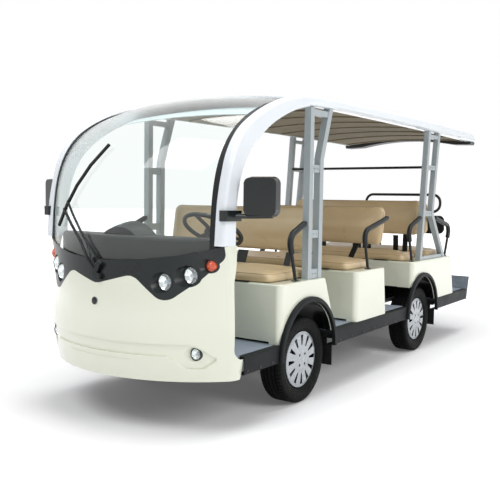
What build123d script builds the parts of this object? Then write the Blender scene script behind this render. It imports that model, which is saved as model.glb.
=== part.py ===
from build123d import *
import os
from math import cos, radians, sin, sqrt, tan

# Open-sided electric shuttle bus: three bench rows face forward and one faces back over a step.
# Millimetres. +Z is up, the nose faces -Y, the driver sits on the +X side, and the ground is z = 0
# under the middle of the vehicle.

os.makedirs("parts", exist_ok=True)

# Overall sizes
LENGTH = 4580.0
NOSE_Y = -LENGTH / 2
TAIL_Y = LENGTH / 2
SIDE_X = 740.0
SEAT_GAP = 0.3

# Wheels and steering
FRONT_AXLE_Y = NOSE_Y + 1135.0
WHEELBASE = 1985.0
REAR_AXLE_Y = FRONT_AXLE_Y + WHEELBASE
TYRE_RADIUS = 280.0
TYRE_WIDTH = 160.0
TYRE_SHOULDER = 24.0
BEAD_RADIUS = 168.0
BEAD_HALF_WIDTH = 54.0
RIM_WALL = 5.0
FLANGE_HEIGHT = 8.0
FLANGE_WIDTH = 4.0
COVER_RADIUS = 180.0
COVER_FACE = 74.0
COVER_WALL = 3.0
COVER_SLOTS = 12
SLOT_INNER = 92.0
SLOT_OUTER = 160.0
SLOT_INNER_WIDTH = 11.0
SLOT_OUTER_WIDTH = 30.0
SLOT_ROUND = 4.5
LUG_DIMPLES = 4
LUG_CIRCLE = 46.0
LUG_HOLE = 9.0
WHEEL_X = 625.0
DRUM_RADIUS = 104.0
DRUM_DEPTH = 30.0
DRUM_WALL = 6.0
HUB_RADIUS = 38.0
DISC_WALL = 6.0
SPINDLE_RADIUS = 16.0
SPINDLE_LENGTH = 52.0
BACKING_RADIUS = 100.0
KINGPIN_X = 560.0
KINGPIN_RADIUS = 11.0
KNUCKLE_BOSS = 20.0
AXLE_EYE_RADIUS = 18.0
BEAM_DEPTH = 50.0
BEAM_HEIGHT = 46.0
KNUCKLE_HALF_HEIGHT = 46.0
AXLE_EYE_HALF_HEIGHT = 28.0
STEER_ARM = 105.0
STEER_ARM_THICKNESS = 12.0
STEER_ARM_WIDTH = 28.0
LINK_PIN_RADIUS = 7.0
PIN_CLEARANCE = 0.4
ROD_EYE_THICKNESS = 14.0
TIE_ROD_RADIUS = 11.0
PITMAN_X = 295.0
PITMAN_LEAD = 60.0
STEER_SHAFT_RADIUS = 12.0
STEERING_WHEEL_RADIUS = 195.0
STEERING_RIM = 13.0
HUB_BOSS = 26.0
STEERING_CENTRE = (350.0, -1660.0, 1115.0)
COLUMN_LEAN = 32.0
COLUMN_RADIUS = 24.0

# Frame, floor and skirts
FLOOR_Z = 430.0
MAT_THICKNESS = 5.0
DECK_THICKNESS = 20.0
DECK_BOTTOM = FLOOR_Z - MAT_THICKNESS - DECK_THICKNESS
FRAME_RAIL_HEIGHT = 60.0
FRAME_RAIL_WIDTH = 50.0
FRAME_RAIL_X = 240.0
CROSS_HEIGHT = 50.0
SPRING_REACH = 420.0
SPRING_X = 365.0
SPRING_WIDTH = 40.0
LEAF = 9.0
LEAF_LAP = 0.5
LEAF_REACHES = (420.0, 290.0, 170.0)
SPRING_CAMBER = 12.0
SPRING_EYE = 13.0
CHEEK_WALL = 4.0
SKIRT_X = 746.0
SKIRT_BOTTOM = 326.0
SKIRT_DEPTH = 50.0
SKIRT_WALL = 5.0
ENTRANCE_FOOT_Y = -1871.0
STEP_END_Y = 2040.0
STEP_PLATE_LEAN = 92.0
STEP_PLATE_TOP = 552.0
STEP_PLATE = 24.0
WELL_RADIUS = 325.0
WELL_CENTRE_Z = 335.0
WELL_INNER_X = 400.0
LINER_WALL = 4.0
FLARE_WIDTH = 32.0
FLARE_OUTER_X = 766.0
FLARE_INNER_X = SIDE_X + SEAT_GAP
FLARE_ROUND = 12.0
FLAP_THICKNESS = 6.0
FLAP_BOTTOM = 185.0

# Seat boxes: front edge, rear edge at the top, rear edge at the foot
BOX_ROWS = ((-1497.0, -948.0, -795.0), (-465.0, 0.0, 45.0), (605.0, 1557.0, 1645.0))
BOX_TOP = 795.0
BOX_WALL = 5.0
BOX_CORNER = 40.0
BOX_EDGE = 12.0
# Shallow panel pressed into the front of each box, and the gap under the front
BOX_PANEL_HALF = 600.0
BOX_PANEL_TOP = 714.0
BOX_PANEL_LOW = 500.0
BOX_PANEL_CORNER = 36.0
BOX_PANEL_DEPTH = 2.5
FOOT_GAP_HALF = 660.0
FOOT_GAP_HEIGHT = 15.0
# Cushions: front edge, rear edge
CUSHION_ROWS = ((-1478.0, -975.0), (-450.0, -24.0), (620.0, 925.0), (1205.0, 1543.0))
CUSHION_HALF_WIDTH = 652.0
CUSHION_THICKNESS = 84.0
CUSHION_CORNER = 45.0
# Backs: y and z of the middle of the front face, and -1 where the sitter faces the nose
BACK_ROWS = ((-900.0, 1110.0, -1), (139.0, 1116.0, -1), (943.0, 1170.0, -1), (1185.0, 1170.0, 1))
BACK_HALF_WIDTH = 660.0
BACK_HEIGHT = 330.0
BACK_THICKNESS = 62.0
BACK_LEAN = 9.0
BACK_CORNER = 60.0
SUPPORT_X = (-430.0, 60.0, 430.0)
SUPPORT_WIDTH = 46.0
SUPPORT_THICKNESS = 12.0

# Roof, rails and glass
RAIL_OUTER_X = 716.0
RAIL_INNER_X = 658.0
RAIL_ROUND = 20.0
# Post and roof line: foot, lean in degrees, straight run, then (radius, turn in degrees) of each arc
POST_FRONT = ((-2043.0, 1050.0), 86.0, 150.0, ((1170.0, 15.0), (465.0, 38.0), (1430.0, 31.0)))
POST_REAR = ((-1914.0, 1050.0), 89.0, 165.0, ((630.0, 17.0), (505.0, 35.0), (1290.0, 36.0)))
RAIL_CREST = (2130.0, 2018.0)
RAIL_TIP = (TAIL_Y, 1952.0)
RAIL_UNDER_END = (TAIL_Y - 12.0, 1926.0)
GLASS_THICKNESS = 6.0
GLASS_INSET = 9.0
# Glass sections: distance up the post from its foot, bow of the middle
GLASS_SECTIONS = ((-125.0, 184.0), (200.0, 166.0), (500.0, 128.0), (850.0, 88.0), (1370.0, 45.0))
SEAL_WIDTH = 26.0
SEAL_GAP = 0.7
SEAM_SIDE_Z = POST_FRONT[0][1]
SEAM_MIDDLE_Z = 955.0
ROOF_SKIN = 8.0
ROOF_FRONT_Y = -1285.0
# Roof sections: y, crown of the middle above the rails
ROOF_SECTIONS = (
    (ROOF_FRONT_Y, 46.0),
    (-1030.0, 46.0),
    (-740.0, 46.0),
    (-415.0, 46.0),
    (120.0, 48.0),
    (760.0, 50.0),
    (1440.0, 52.0),
    (2125.0, 54.0),
    (TAIL_Y - 3.0, 54.0),
)
LINER_THICKNESS = 4.0
LINER_FRONT_Y = -1440.0
LINER_CROWN = 30.0
LINER_RIB_WIDTH = 36.0
LINER_RIB_DEPTH = 10.0
LINER_RIBS = 8
LIP_LENGTH = 150.0
LIP_HEIGHT = 26.0

# Nose: height, set-back of its middle, plan radius, half width, corner radius
NOSE_SECTIONS = (
    (300.0, 34.0, 930.0, 716.0, 110.0),
    (430.0, 10.0, 950.0, 738.0, 120.0),
    (650.0, 0.9, 960.0, 740.0, 120.0),
    (850.0, 20.0, 1000.0, 732.0, 100.0),
    (1050.0, 60.0, 1250.0, 716.0, 62.0),
)
NOSE_WALL = 7.0
NOSE_BACK_Y = -1840.0
ENTRANCE_TOP_Y = POST_REAR[0][0]
# Front edge of the entrance: y and z where it meets the sill and at its waist, radius of the sill corner
ENTRANCE_SILL = (-1942.0, 417.0)
ENTRANCE_WAIST = (-1948.0, 850.0)
ENTRANCE_CORNER = 66.0
# Bumper groove: x, z and radius of each corner, upper edge first, then round the fog lamp
GROOVE = (
    (572.0, 513.0, 60.0),
    (668.0, 431.0, 14.0),
    (600.0, 373.0, 55.0),
    (520.0, 378.0, 50.0),
    (446.0, 444.0, 60.0),
)
GROOVE_DEPTH = 9.0
GROOVE_RIM = 8.0
# Crease below the groove: width, height of its middle, its own height and depth
CREASE = (470.0, 416.0, 5.0, 2.0)
COLUMN_REACH = (STEERING_CENTRE[2] - FLOOR_Z) * tan(radians(COLUMN_LEAN))
COLUMN_FOOT = (STEERING_CENTRE[0], STEERING_CENTRE[1] - COLUMN_REACH)

# Pillars
TUBE = 46.0
PILLAR_OUTER_X = 714.0
PLATE = 38.0

# Rear guard rail
GUARD_Y = STEP_END_Y + STEP_PLATE_LEAN - STEP_PLATE / 2
GUARD_HALF_WIDTH = 420.0
GUARD_CORNER = 80.0
GUARD_TOP = 1397.0
GUARD_LOW = 1190.0
GUARD_TUBE = 14.0


def nose_plan(section, inset=0.0):
    """One level outline of the nose: a wide bow between two corner arcs, straight behind."""
    height, setback, radius, half_width, corner_radius = section
    front = NOSE_Y + setback + inset
    bow = radius - inset
    side = half_width - inset
    corner = corner_radius - inset
    bow_y = front + bow
    corner_y = bow_y - sqrt((bow - corner) ** 2 - (side - corner) ** 2)
    reach = bow / (bow - corner)
    touch = ((side - corner) * reach, bow_y + (corner_y - bow_y) * reach)
    with BuildSketch(Plane.XY.offset(height)) as plan:
        with BuildLine():
            Line((side, NOSE_BACK_Y), (side, corner_y))
            RadiusArc((side, corner_y), touch, corner)
            ThreePointArc(touch, (0, front), (-touch[0], touch[1]))
            RadiusArc((-touch[0], touch[1]), (-side, corner_y), corner)
            Line((-side, corner_y), (-side, NOSE_BACK_Y))
            Line((-side, NOSE_BACK_Y), (side, NOSE_BACK_Y))
        make_face()
    return plan.sketch


def side_plane(x):
    """A plane across the vehicle at x, whose own axes are y and z."""
    return Plane(origin=(x, 0, 0), x_dir=(0, 1, 0), z_dir=(1, 0, 0))


def front_plane(y):
    """A plane facing the nose at y, whose own axes are x and z."""
    return Plane(origin=(0, y, 0), x_dir=(1, 0, 0), z_dir=(0, -1, 0))


def post_curve(post, *end_points):
    """Side view of one edge of the post: a lean, smooth arcs, then arcs on through the end points."""
    foot, lean, straight, arcs = post
    heading = lean
    pieces = [Line(foot, (foot[0] + straight * cos(radians(lean)), foot[1] + straight * sin(radians(lean))))]
    for radius, turn in arcs:
        start = pieces[-1] @ 1
        pieces.append(JernArc(start, (cos(radians(heading)), sin(radians(heading))), radius, -turn))
        heading -= turn
    for point in end_points:
        pieces.append(TangentArc(pieces[-1] @ 1, point, tangent=pieces[-1] % 1))
    return Wire([piece.edge() for piece in pieces])


def height_at(curve, y):
    """Height of a side-view curve at y, found by halving."""
    low, high = 0.0, 1.0
    for _ in range(40):
        middle = (low + high) / 2
        if curve.position_at(middle).X < y:
            low = middle
        else:
            high = middle
    return curve.position_at(low).Y


def save(builder, label):
    """Write one finished piece."""
    builder.part.label = label
    export_step(builder.part, f"parts/{label}.step")


def nose_y(x, z):
    """Where the outside of the nose lies at a distance x from the middle and a height z."""
    rows = NOSE_SECTIONS
    above = next((row for row in range(1, len(rows)) if rows[row][0] >= z), len(rows) - 1)
    share = (z - rows[above - 1][0]) / (rows[above][0] - rows[above - 1][0])
    setback, radius = (rows[above - 1][k] + share * (rows[above][k] - rows[above - 1][k]) for k in (1, 2))
    return NOSE_Y + setback + radius - sqrt(radius**2 - x**2)


# Front body moulding: a bow-fronted shell that wraps round to the entrances
with BuildPart() as nose_shell:
    for nose_section in NOSE_SECTIONS:
        add(nose_plan(nose_section))
    loft()
    for nose_section in NOSE_SECTIONS:
        add(nose_plan(nose_section, NOSE_WALL))
    loft(mode=Mode.SUBTRACT)
    with BuildSketch(side_plane(0)) as entrance:
        with BuildLine():
            Polyline(
                (ENTRANCE_FOOT_Y, 0),
                (ENTRANCE_FOOT_Y, ENTRANCE_SILL[1]),
                ENTRANCE_SILL,
                ENTRANCE_WAIST,
                (ENTRANCE_TOP_Y, SEAM_SIDE_Z),
                (ENTRANCE_TOP_Y, 1400),
                (-1500, 1400),
                (-1500, 0),
                close=True,
            )
        make_face()
        fillet(entrance.vertices().sort_by_distance(Vector(*ENTRANCE_SILL, 0))[0], radius=ENTRANCE_CORNER)
    extrude(amount=SIDE_X * 2, both=True, mode=Mode.SUBTRACT)
    with BuildSketch(front_plane(0)):
        with BuildLine():
            ThreePointArc((-RAIL_OUTER_X, SEAM_SIDE_Z), (0, SEAM_MIDDLE_Z), (RAIL_OUTER_X, SEAM_SIDE_Z))
            Line((RAIL_OUTER_X, SEAM_SIDE_Z), (RAIL_OUTER_X, 1400))
            Line((RAIL_OUTER_X, 1400), (-RAIL_OUTER_X, 1400))
            Line((-RAIL_OUTER_X, 1400), (-RAIL_OUTER_X, SEAM_SIDE_Z))
        make_face()
    extrude(amount=-NOSE_Y * 1.2, mode=Mode.SUBTRACT)

# Lamps of the panel: x, z, radius; each faces forward at the foot of a round well in the panel
LAMPS = ((415.0, 848.0, 50.0), (538.0, 886.0, 50.0))
INDICATOR = (634.0, 942.0, 29.0)
FOG_LAMP = (564.0, 456.0, 36.0)
LAMP_DEPTH = 24.0
LAMP_BEZEL = 5.0
LAMP_LIP = 3.0
LAMP_DOME = 9.0
INDICATOR_DOME = 16.0
WELL_WALL = 5.0
WELL_MARGIN = 6.0
WELL_REACH = 110.0
# How far each well opens out, in degrees
LAMP_FLARE = 18.0
INDICATOR_FLARE = 28.0
FOG_FLARE = 10.0
PANEL_WELLS = tuple(lamp_row + (LAMP_FLARE,) for lamp_row in LAMPS) + (INDICATOR + (INDICATOR_FLARE,),)

# Line where the dark lamp panel meets the pale moulding: middle notch, two peaks, two low lobes
PANEL_EDGE = ((0.0, 820.0), (242.0, 884.0), (428.0, 728.0), (598.0, 870.0), (702.0, 985.0), (702.0, 1100.0))
PANEL_EDGE_RADII = (90.0, 80.0, 140.0, 60.0)
edge_right = list(PANEL_EDGE)
edge_left = [(-x, z) for x, z in reversed(PANEL_EDGE[1:])]
with BuildSketch(front_plane(0)) as panel_region:
    with BuildLine():
        radii = list(reversed(PANEL_EDGE_RADII)) + [120.0] + list(PANEL_EDGE_RADII)
        FilletPolyline(edge_left + edge_right, radius=radii)
        Line(PANEL_EDGE[-1], (PANEL_EDGE[-1][0], 1300))
        Line((PANEL_EDGE[-1][0], 1300), (-PANEL_EDGE[-1][0], 1300))
        Line((-PANEL_EDGE[-1][0], 1300), (-PANEL_EDGE[-1][0], PANEL_EDGE[-1][1]))
    make_face()
    for x, z, radius in LAMPS + (INDICATOR,):
        with Locations((-x, z), (x, z)):
            Circle(radius + SEAT_GAP + WELL_WALL + WELL_MARGIN)

with BuildPart() as panel_cutter:
    add(panel_region.sketch)
    extrude(amount=-NOSE_Y * 1.2, dir=(0, -1, 0))


def lamp_face_y(x, z, radius):
    """A lamp faces the road from just inside the outer edge of its well."""
    return nose_y(x + radius * 0.8, z)


def nose_block(inset):
    """The nose as one solid block, set inward."""
    with BuildPart() as block:
        for section in NOSE_SECTIONS:
            add(nose_plan(section, inset))
        loft()
    return block.part


def well(x, z, radius, flare, wall, depth):
    """A round socket that opens out like a cone from the face of its lamp."""
    face = lamp_face_y(abs(x), z, radius)
    with BuildPart() as socket:
        with BuildSketch(front_plane(face + depth)):
            with Locations((x, z)):
                Circle(radius + SEAT_GAP + wall)
        extrude(amount=depth)
        with BuildSketch(front_plane(face)):
            with Locations((x, z)):
                Circle(radius + SEAT_GAP + wall)
        extrude(amount=WELL_REACH, taper=-flare)
    return socket.part


def wells(rows, wall, depth):
    """The sockets of a table of lamps, on both sides of the nose."""
    return [well(side * x, z, radius, flare, wall, depth) for x, z, radius, flare in rows for side in (-1, 1)]


nose_core = nose_block(0.5)
with BuildPart() as lamp_wells:
    add(wells(PANEL_WELLS, WELL_WALL, LAMP_DEPTH))
    add(nose_core, mode=Mode.INTERSECT)

with BuildPart() as lamp_panel:
    add(nose_shell.part)
    add(panel_cutter.part, mode=Mode.INTERSECT)
    add(lamp_wells.part)
    add(wells(PANEL_WELLS, 0.0, LAMP_DEPTH + 1), mode=Mode.SUBTRACT)
save(lamp_panel, "lamp_panel")


def lamp(x, z, radius, dome):
    """Section of a round lamp from its middle to its rim, ready to spin about its own axis."""
    face = lamp_face_y(abs(x), z, radius)
    with BuildSketch(Plane(origin=(x, face, z), x_dir=(1, 0, 0), z_dir=(0, 0, 1))) as half:
        with BuildLine():
            ThreePointArc((0, -dome), (radius * 0.5, -dome * 0.72), (radius - LAMP_BEZEL, 0))
            Polyline(
                (radius - LAMP_BEZEL, 0),
                (radius - LAMP_BEZEL, -LAMP_LIP),
                (radius, -LAMP_LIP),
                (radius, LAMP_DEPTH),
                (0, LAMP_DEPTH),
                (0, -dome),
            )
        make_face()
    return half.sketch


with BuildPart() as front_lamps:
    for x, z, radius in LAMPS + (FOG_LAMP,):
        for side in (-1, 1):
            add(lamp(side * x, z, radius, LAMP_DOME))
            revolve(axis=Axis((side * x, 0, z), (0, 1, 0)))
save(front_lamps, "front_lamps")

with BuildPart() as front_indicators:
    for side in (-1, 1):
        add(lamp(side * INDICATOR[0], INDICATOR[1], INDICATOR[2], INDICATOR_DOME))
        revolve(axis=Axis((side * INDICATOR[0], 0, INDICATOR[1]), (0, 1, 0)))
save(front_indicators, "front_indicators")

FOG_WELLS = (FOG_LAMP + (FOG_FLARE,),)
with BuildPart() as fog_wells:
    add(wells(FOG_WELLS, WELL_WALL, LAMP_DEPTH))
    add(nose_core, mode=Mode.INTERSECT)


def groove_region(rim):
    """Front view of the bumper groove, widened by a rim."""
    with BuildSketch(front_plane(0)) as region:
        corners = [(x, z) for x, z, _ in GROOVE] + [(-x, z) for x, z, _ in reversed(GROOVE)]
        with BuildLine():
            Polyline(*corners, close=True)
        make_face()
        for x, z, radius in GROOVE:
            for side in (-1, 1):
                fillet(region.vertices().sort_by_distance(Vector(side * x, z, 0))[0], radius=radius)
        if rim:
            offset(amount=rim)
    return region.sketch


# Bumper groove: what is cut away down to its floor, and the wall behind the floor
with BuildPart() as groove_backing:
    add(groove_region(GROOVE_RIM))
    extrude(amount=-NOSE_Y * 1.2, dir=(0, -1, 0))
    add(nose_core, mode=Mode.INTERSECT)
    add(nose_block(GROOVE_DEPTH + NOSE_WALL), mode=Mode.SUBTRACT)
with BuildPart() as groove_cutter:
    add(groove_region(0))
    extrude(amount=-NOSE_Y * 1.2, dir=(0, -1, 0))
    add(nose_block(GROOVE_DEPTH), mode=Mode.SUBTRACT)
with BuildPart() as crease_cutter:
    crease_width, crease_z, crease_height, crease_depth = CREASE
    with BuildSketch(front_plane(0)):
        with Locations((0, crease_z)):
            Rectangle(crease_width, crease_height)
    extrude(amount=-NOSE_Y * 1.2)
    add(nose_block(crease_depth), mode=Mode.SUBTRACT)

with BuildPart() as front_fascia:
    add(nose_shell.part)
    add(panel_cutter.part, mode=Mode.SUBTRACT)
    add(groove_backing.part)
    add(fog_wells.part)
    add(groove_cutter.part, mode=Mode.SUBTRACT)
    add(crease_cutter.part, mode=Mode.SUBTRACT)
    add(wells(FOG_WELLS, 0.0, LAMP_DEPTH + 1), mode=Mode.SUBTRACT)
save(front_fascia, "front_fascia")

# Chassis frame: two rails and cross members that run out to the skirts
CROSS_Y = (
    FRONT_AXLE_Y - SPRING_REACH,
    FRONT_AXLE_Y + SPRING_REACH,
    (FRONT_AXLE_Y + REAR_AXLE_Y) / 2,
    REAR_AXLE_Y - SPRING_REACH,
    REAR_AXLE_Y + SPRING_REACH,
    STEP_END_Y - 60.0,
)
FRAME_FRONT_Y = NOSE_Y + 240.0
FRAME_LENGTH = STEP_END_Y - 30.0 - FRAME_FRONT_Y
CROSS_LENGTH = 2 * (SKIRT_X - SKIRT_DEPTH)
NOSE_CROSS_LENGTH = 900.0
CHEEK_SIZE = 36.0
with BuildPart() as chassis_frame:
    for side in (-1, 1):
        with Locations((side * FRAME_RAIL_X, FRAME_FRONT_Y + FRAME_LENGTH / 2, DECK_BOTTOM)):
            Box(FRAME_RAIL_WIDTH, FRAME_LENGTH, FRAME_RAIL_HEIGHT, align=(Align.CENTER, Align.CENTER, Align.MAX))
    for cross_y in CROSS_Y:
        with Locations((0, cross_y, DECK_BOTTOM)):
            Box(CROSS_LENGTH, FRAME_RAIL_WIDTH, CROSS_HEIGHT, align=(Align.CENTER, Align.CENTER, Align.MAX))
    with Locations((0, FRAME_FRONT_Y + FRAME_RAIL_WIDTH / 2, DECK_BOTTOM)):
        Box(NOSE_CROSS_LENGTH, FRAME_RAIL_WIDTH, CROSS_HEIGHT, align=(Align.CENTER, Align.CENTER, Align.MAX))
    for axle_y in (FRONT_AXLE_Y, REAR_AXLE_Y):
        for end in (-1, 1):
            for side in (-1, 1):
                for cheek in (-1, 1):
                    cheek_x = side * SPRING_X + cheek * (SPRING_WIDTH / 2 + SEAT_GAP + CHEEK_WALL / 2)
                    with Locations((cheek_x, axle_y + end * SPRING_REACH, DECK_BOTTOM - CROSS_HEIGHT)):
                        Box(CHEEK_WALL, CHEEK_SIZE, CHEEK_SIZE, align=(Align.CENTER, Align.CENTER, Align.MAX))
save(chassis_frame, "chassis_frame")


def floor_outline(height, half_width, end_y, inset):
    """Floor plan: straight sides, bowed into the nose, with the four wheel wells cut out."""
    with BuildSketch(Plane.XY.offset(height)) as outline:
        add(nose_plan((0.0,) + NOSE_SECTIONS[1][1:], inset))
        with Locations((0, NOSE_BACK_Y)):
            Rectangle(2 * SIDE_X, 2 * (NOSE_BACK_Y - ENTRANCE_FOOT_Y), mode=Mode.SUBTRACT)
        with Locations((0, (ENTRANCE_FOOT_Y + end_y) / 2)):
            Rectangle(2 * half_width, end_y - ENTRANCE_FOOT_Y)
        for axle_y in (FRONT_AXLE_Y, REAR_AXLE_Y):
            for side in (-1, 1):
                with Locations((side * (WELL_INNER_X + SIDE_X) / 2, axle_y)):
                    Rectangle(SIDE_X - WELL_INNER_X + 20, 2 * WELL_RADIUS, mode=Mode.SUBTRACT)
        with Locations(COLUMN_FOOT):
            Circle(STEER_SHAFT_RADIUS + 4, mode=Mode.SUBTRACT)
        for side in (-1, 1):
            with Locations((side * FOG_LAMP[0], lamp_face_y(*FOG_LAMP) + LAMP_DEPTH + FLOOR_MARGIN)):
                notch_width = 2 * (FOG_LAMP[2] + SEAT_GAP + WELL_WALL + FLOOR_MARGIN)
                Rectangle(notch_width, WELL_REACH, align=(Align.CENTER, Align.MAX), mode=Mode.SUBTRACT)
    return outline.sketch


FLOOR_MARGIN = 6.0
FLOOR_GAP = 8.0
FLOOR_INSET = NOSE_WALL + GROOVE_DEPTH + FLOOR_GAP
with BuildPart() as floor_deck:
    add(floor_outline(DECK_BOTTOM + DECK_THICKNESS, SIDE_X, STEP_END_Y, FLOOR_INSET))
    extrude(amount=DECK_THICKNESS, dir=(0, 0, -1))
save(floor_deck, "floor_deck")

# Floor mats: one under each seat box and one in each foot space, with a narrow seam between them
MAT_SEAM = 1.0
MAT_MARGIN = 3.0
with BuildPart() as floor_mat:
    add(floor_outline(FLOOR_Z, SKIRT_X - SKIRT_DEPTH, STEP_END_Y, FLOOR_INSET))
    extrude(amount=MAT_THICKNESS, dir=(0, 0, -1))
    for front_y, _, rear_foot_y in BOX_ROWS:
        for seam_y in (front_y - MAT_MARGIN, rear_foot_y + MAT_MARGIN):
            with Locations((0, seam_y, FLOOR_Z)):
                Box(2 * SIDE_X, MAT_SEAM, 4 * MAT_THICKNESS, mode=Mode.SUBTRACT)
save(floor_mat, "floor_mat")


def well_profile(x, axle_y, radius, foot_z):
    """Side view of a wheel well or arch at x: a half round over straight sides down to foot_z."""
    with BuildSketch(Plane(origin=(x, axle_y, 0), x_dir=(0, 1, 0), z_dir=(1, 0, 0))) as profile:
        with BuildLine():
            Line((-radius, foot_z), (-radius, WELL_CENTRE_Z))
            ThreePointArc((-radius, WELL_CENTRE_Z), (0, WELL_CENTRE_Z + radius), (radius, WELL_CENTRE_Z))
            Line((radius, WELL_CENTRE_Z), (radius, foot_z))
            Line((radius, foot_z), (-radius, foot_z))
        make_face()
    return profile.sketch


# Skirts: a channel along each side, its wheel-arch flares moulded in one with it
SKIRT_END_Y = STEP_END_Y
with BuildPart() as side_skirts:
    with BuildSketch(Plane(origin=(0, ENTRANCE_FOOT_Y, 0), x_dir=(1, 0, 0), z_dir=(0, -1, 0))):
        with Locations((SKIRT_X - SKIRT_DEPTH / 2, (FLOOR_Z + SKIRT_BOTTOM) / 2)):
            RectangleRounded(SKIRT_DEPTH, FLOOR_Z - SKIRT_BOTTOM, 8)
        with Locations((SKIRT_X - SKIRT_DEPTH / 2 - SKIRT_WALL, (FLOOR_Z + SKIRT_BOTTOM) / 2)):
            Rectangle(SKIRT_DEPTH, FLOOR_Z - SKIRT_BOTTOM - 2 * SKIRT_WALL, mode=Mode.SUBTRACT)
    extrude(amount=-(SKIRT_END_Y - ENTRANCE_FOOT_Y))
    for axle_y in (FRONT_AXLE_Y, REAR_AXLE_Y):
        add(well_profile(FLARE_INNER_X, axle_y, WELL_RADIUS + FLARE_WIDTH, SKIRT_BOTTOM))
        extrude(amount=FLARE_OUTER_X - FLARE_INNER_X, dir=(1, 0, 0))
        add(well_profile(WELL_INNER_X, axle_y, WELL_RADIUS, 0))
        extrude(amount=FLARE_OUTER_X, dir=(1, 0, 0), mode=Mode.SUBTRACT)
    flare_arcs = side_skirts.faces().group_by(Axis.X)[-1].edges().filter_by(GeomType.CIRCLE)
    fillet([arc for arc in flare_arcs if arc.radius > WELL_RADIUS + 1], radius=FLARE_ROUND)
    mirror(about=Plane.YZ)
save(side_skirts, "side_skirts")

# Seat boxes: thin shells with rounded front corners, open below, two of them over the wheels
boxes = []
for front_y, rear_top_y, rear_foot_y in BOX_ROWS:
    with BuildPart() as box_block:
        with BuildSketch(side_plane(0)):
            with BuildLine():
                Polyline(
                    (front_y, FLOOR_Z),
                    (front_y, BOX_TOP),
                    (rear_top_y, BOX_TOP),
                    (rear_foot_y, FLOOR_Z),
                    close=True,
                )
            make_face()
        extrude(amount=SIDE_X, both=True)
        fillet(box_block.edges().filter_by(Axis.Z).group_by(Axis.Y)[0], radius=BOX_CORNER)
        fillet(box_block.faces().sort_by(Axis.Z)[-1].edges(), radius=BOX_EDGE)
    with BuildPart() as box_shell:
        add(box_block.part)
        offset(amount=-BOX_WALL, openings=box_shell.faces().sort_by(Axis.Z)[0])
        for axle_y in (FRONT_AXLE_Y, REAR_AXLE_Y):
            if front_y < axle_y < rear_top_y:
                for side in (-1, 1):
                    add(well_profile(side * (WELL_INNER_X - LINER_WALL), axle_y, WELL_RADIUS + LINER_WALL, 0))
                    extrude(amount=SIDE_X, dir=(side, 0, 0))
                    add(well_profile(side * WELL_INNER_X, axle_y, WELL_RADIUS, 0))
                    extrude(amount=SIDE_X, dir=(side, 0, 0), mode=Mode.SUBTRACT)
        add(box_block.part, mode=Mode.INTERSECT)
        with BuildSketch(front_plane(front_y)):
            with Locations((0, (BOX_PANEL_TOP + BOX_PANEL_LOW) / 2)):
                RectangleRounded(2 * BOX_PANEL_HALF, BOX_PANEL_TOP - BOX_PANEL_LOW, BOX_PANEL_CORNER)
        extrude(amount=-BOX_PANEL_DEPTH, mode=Mode.SUBTRACT)
        with Locations((0, front_y, FLOOR_Z)):
            Box(2 * FOOT_GAP_HALF, 3 * BOX_WALL, 2 * FOOT_GAP_HEIGHT, mode=Mode.SUBTRACT)
    boxes.append(box_shell.part)
with BuildPart() as seat_boxes:
    add(boxes)
save(seat_boxes, "seat_boxes")


RAIL_TOP = post_curve(POST_FRONT, RAIL_CREST, RAIL_TIP)
RAIL_UNDER = post_curve(POST_REAR, RAIL_UNDER_END)


def post_plane(distance, drop):
    """Plane square to the front of the post at a distance up from its foot, set inward by drop."""
    share = max(distance, 0.0) / RAIL_TOP.length
    spot = RAIL_TOP.position_at(share)
    way = RAIL_TOP.tangent_at(share)
    spot = spot + way * min(distance, 0.0)
    along = Vector(0, way.X, way.Y)
    outward = Vector(0, -way.Y, way.X)
    return Plane(origin=Vector(0, spot.X, spot.Y) - outward * drop, x_dir=(1, 0, 0), z_dir=-along)


def bowed_strip(plane, half_width, bow, thickness):
    """Cross-section of a bowed sheet: an outer arc and the same arc one thickness inside it."""
    with BuildSketch(plane) as strip:
        with BuildLine():
            ThreePointArc((-half_width, 0), (0, bow), (half_width, 0))
            Line((half_width, 0), (half_width, -thickness))
            ThreePointArc((half_width, -thickness), (0, bow - thickness), (-half_width, -thickness))
            Line((-half_width, -thickness), (-half_width, 0))
        make_face()
    return strip.sketch


def level_plane(y, height):
    """Upright plane across the vehicle at y, with its origin at a height."""
    return Plane(origin=(0, y, height), x_dir=(1, 0, 0), z_dir=(0, -1, 0))


def seam_sketch(shift, far_z):
    """Front view of the space between the seam under the glass and a level far above or below it."""
    with BuildSketch(front_plane(-1500)) as seam:
        with BuildLine():
            ThreePointArc(
                (-RAIL_OUTER_X, SEAM_SIDE_Z + shift), (0, SEAM_MIDDLE_Z + shift), (RAIL_OUTER_X, SEAM_SIDE_Z + shift)
            )
            Polyline(
                (RAIL_OUTER_X, SEAM_SIDE_Z + shift),
                (RAIL_OUTER_X, far_z),
                (-RAIL_OUTER_X, far_z),
                (-RAIL_OUTER_X, SEAM_SIDE_Z + shift),
            )
        make_face()
    return seam.sketch


# Windscreen: one sheet bent both ways, from the dark panel to the roof
SHEET_HALF_WIDTH = RAIL_INNER_X - SEAT_GAP
with BuildPart() as windscreen:
    for distance, bow in GLASS_SECTIONS:
        add(bowed_strip(post_plane(distance, GLASS_INSET), SHEET_HALF_WIDTH, bow, GLASS_THICKNESS))
    loft()
    add(seam_sketch(SEAT_GAP, 600))
    extrude(amount=1000, dir=(0, -1, 0), mode=Mode.SUBTRACT)
    with Locations((0, ROOF_FRONT_Y - SEAT_GAP, 0)):
        Box(SIDE_X * 2, 400, 6000, align=(Align.CENTER, Align.MIN, Align.CENTER), mode=Mode.SUBTRACT)
save(windscreen, "windscreen")

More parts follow.
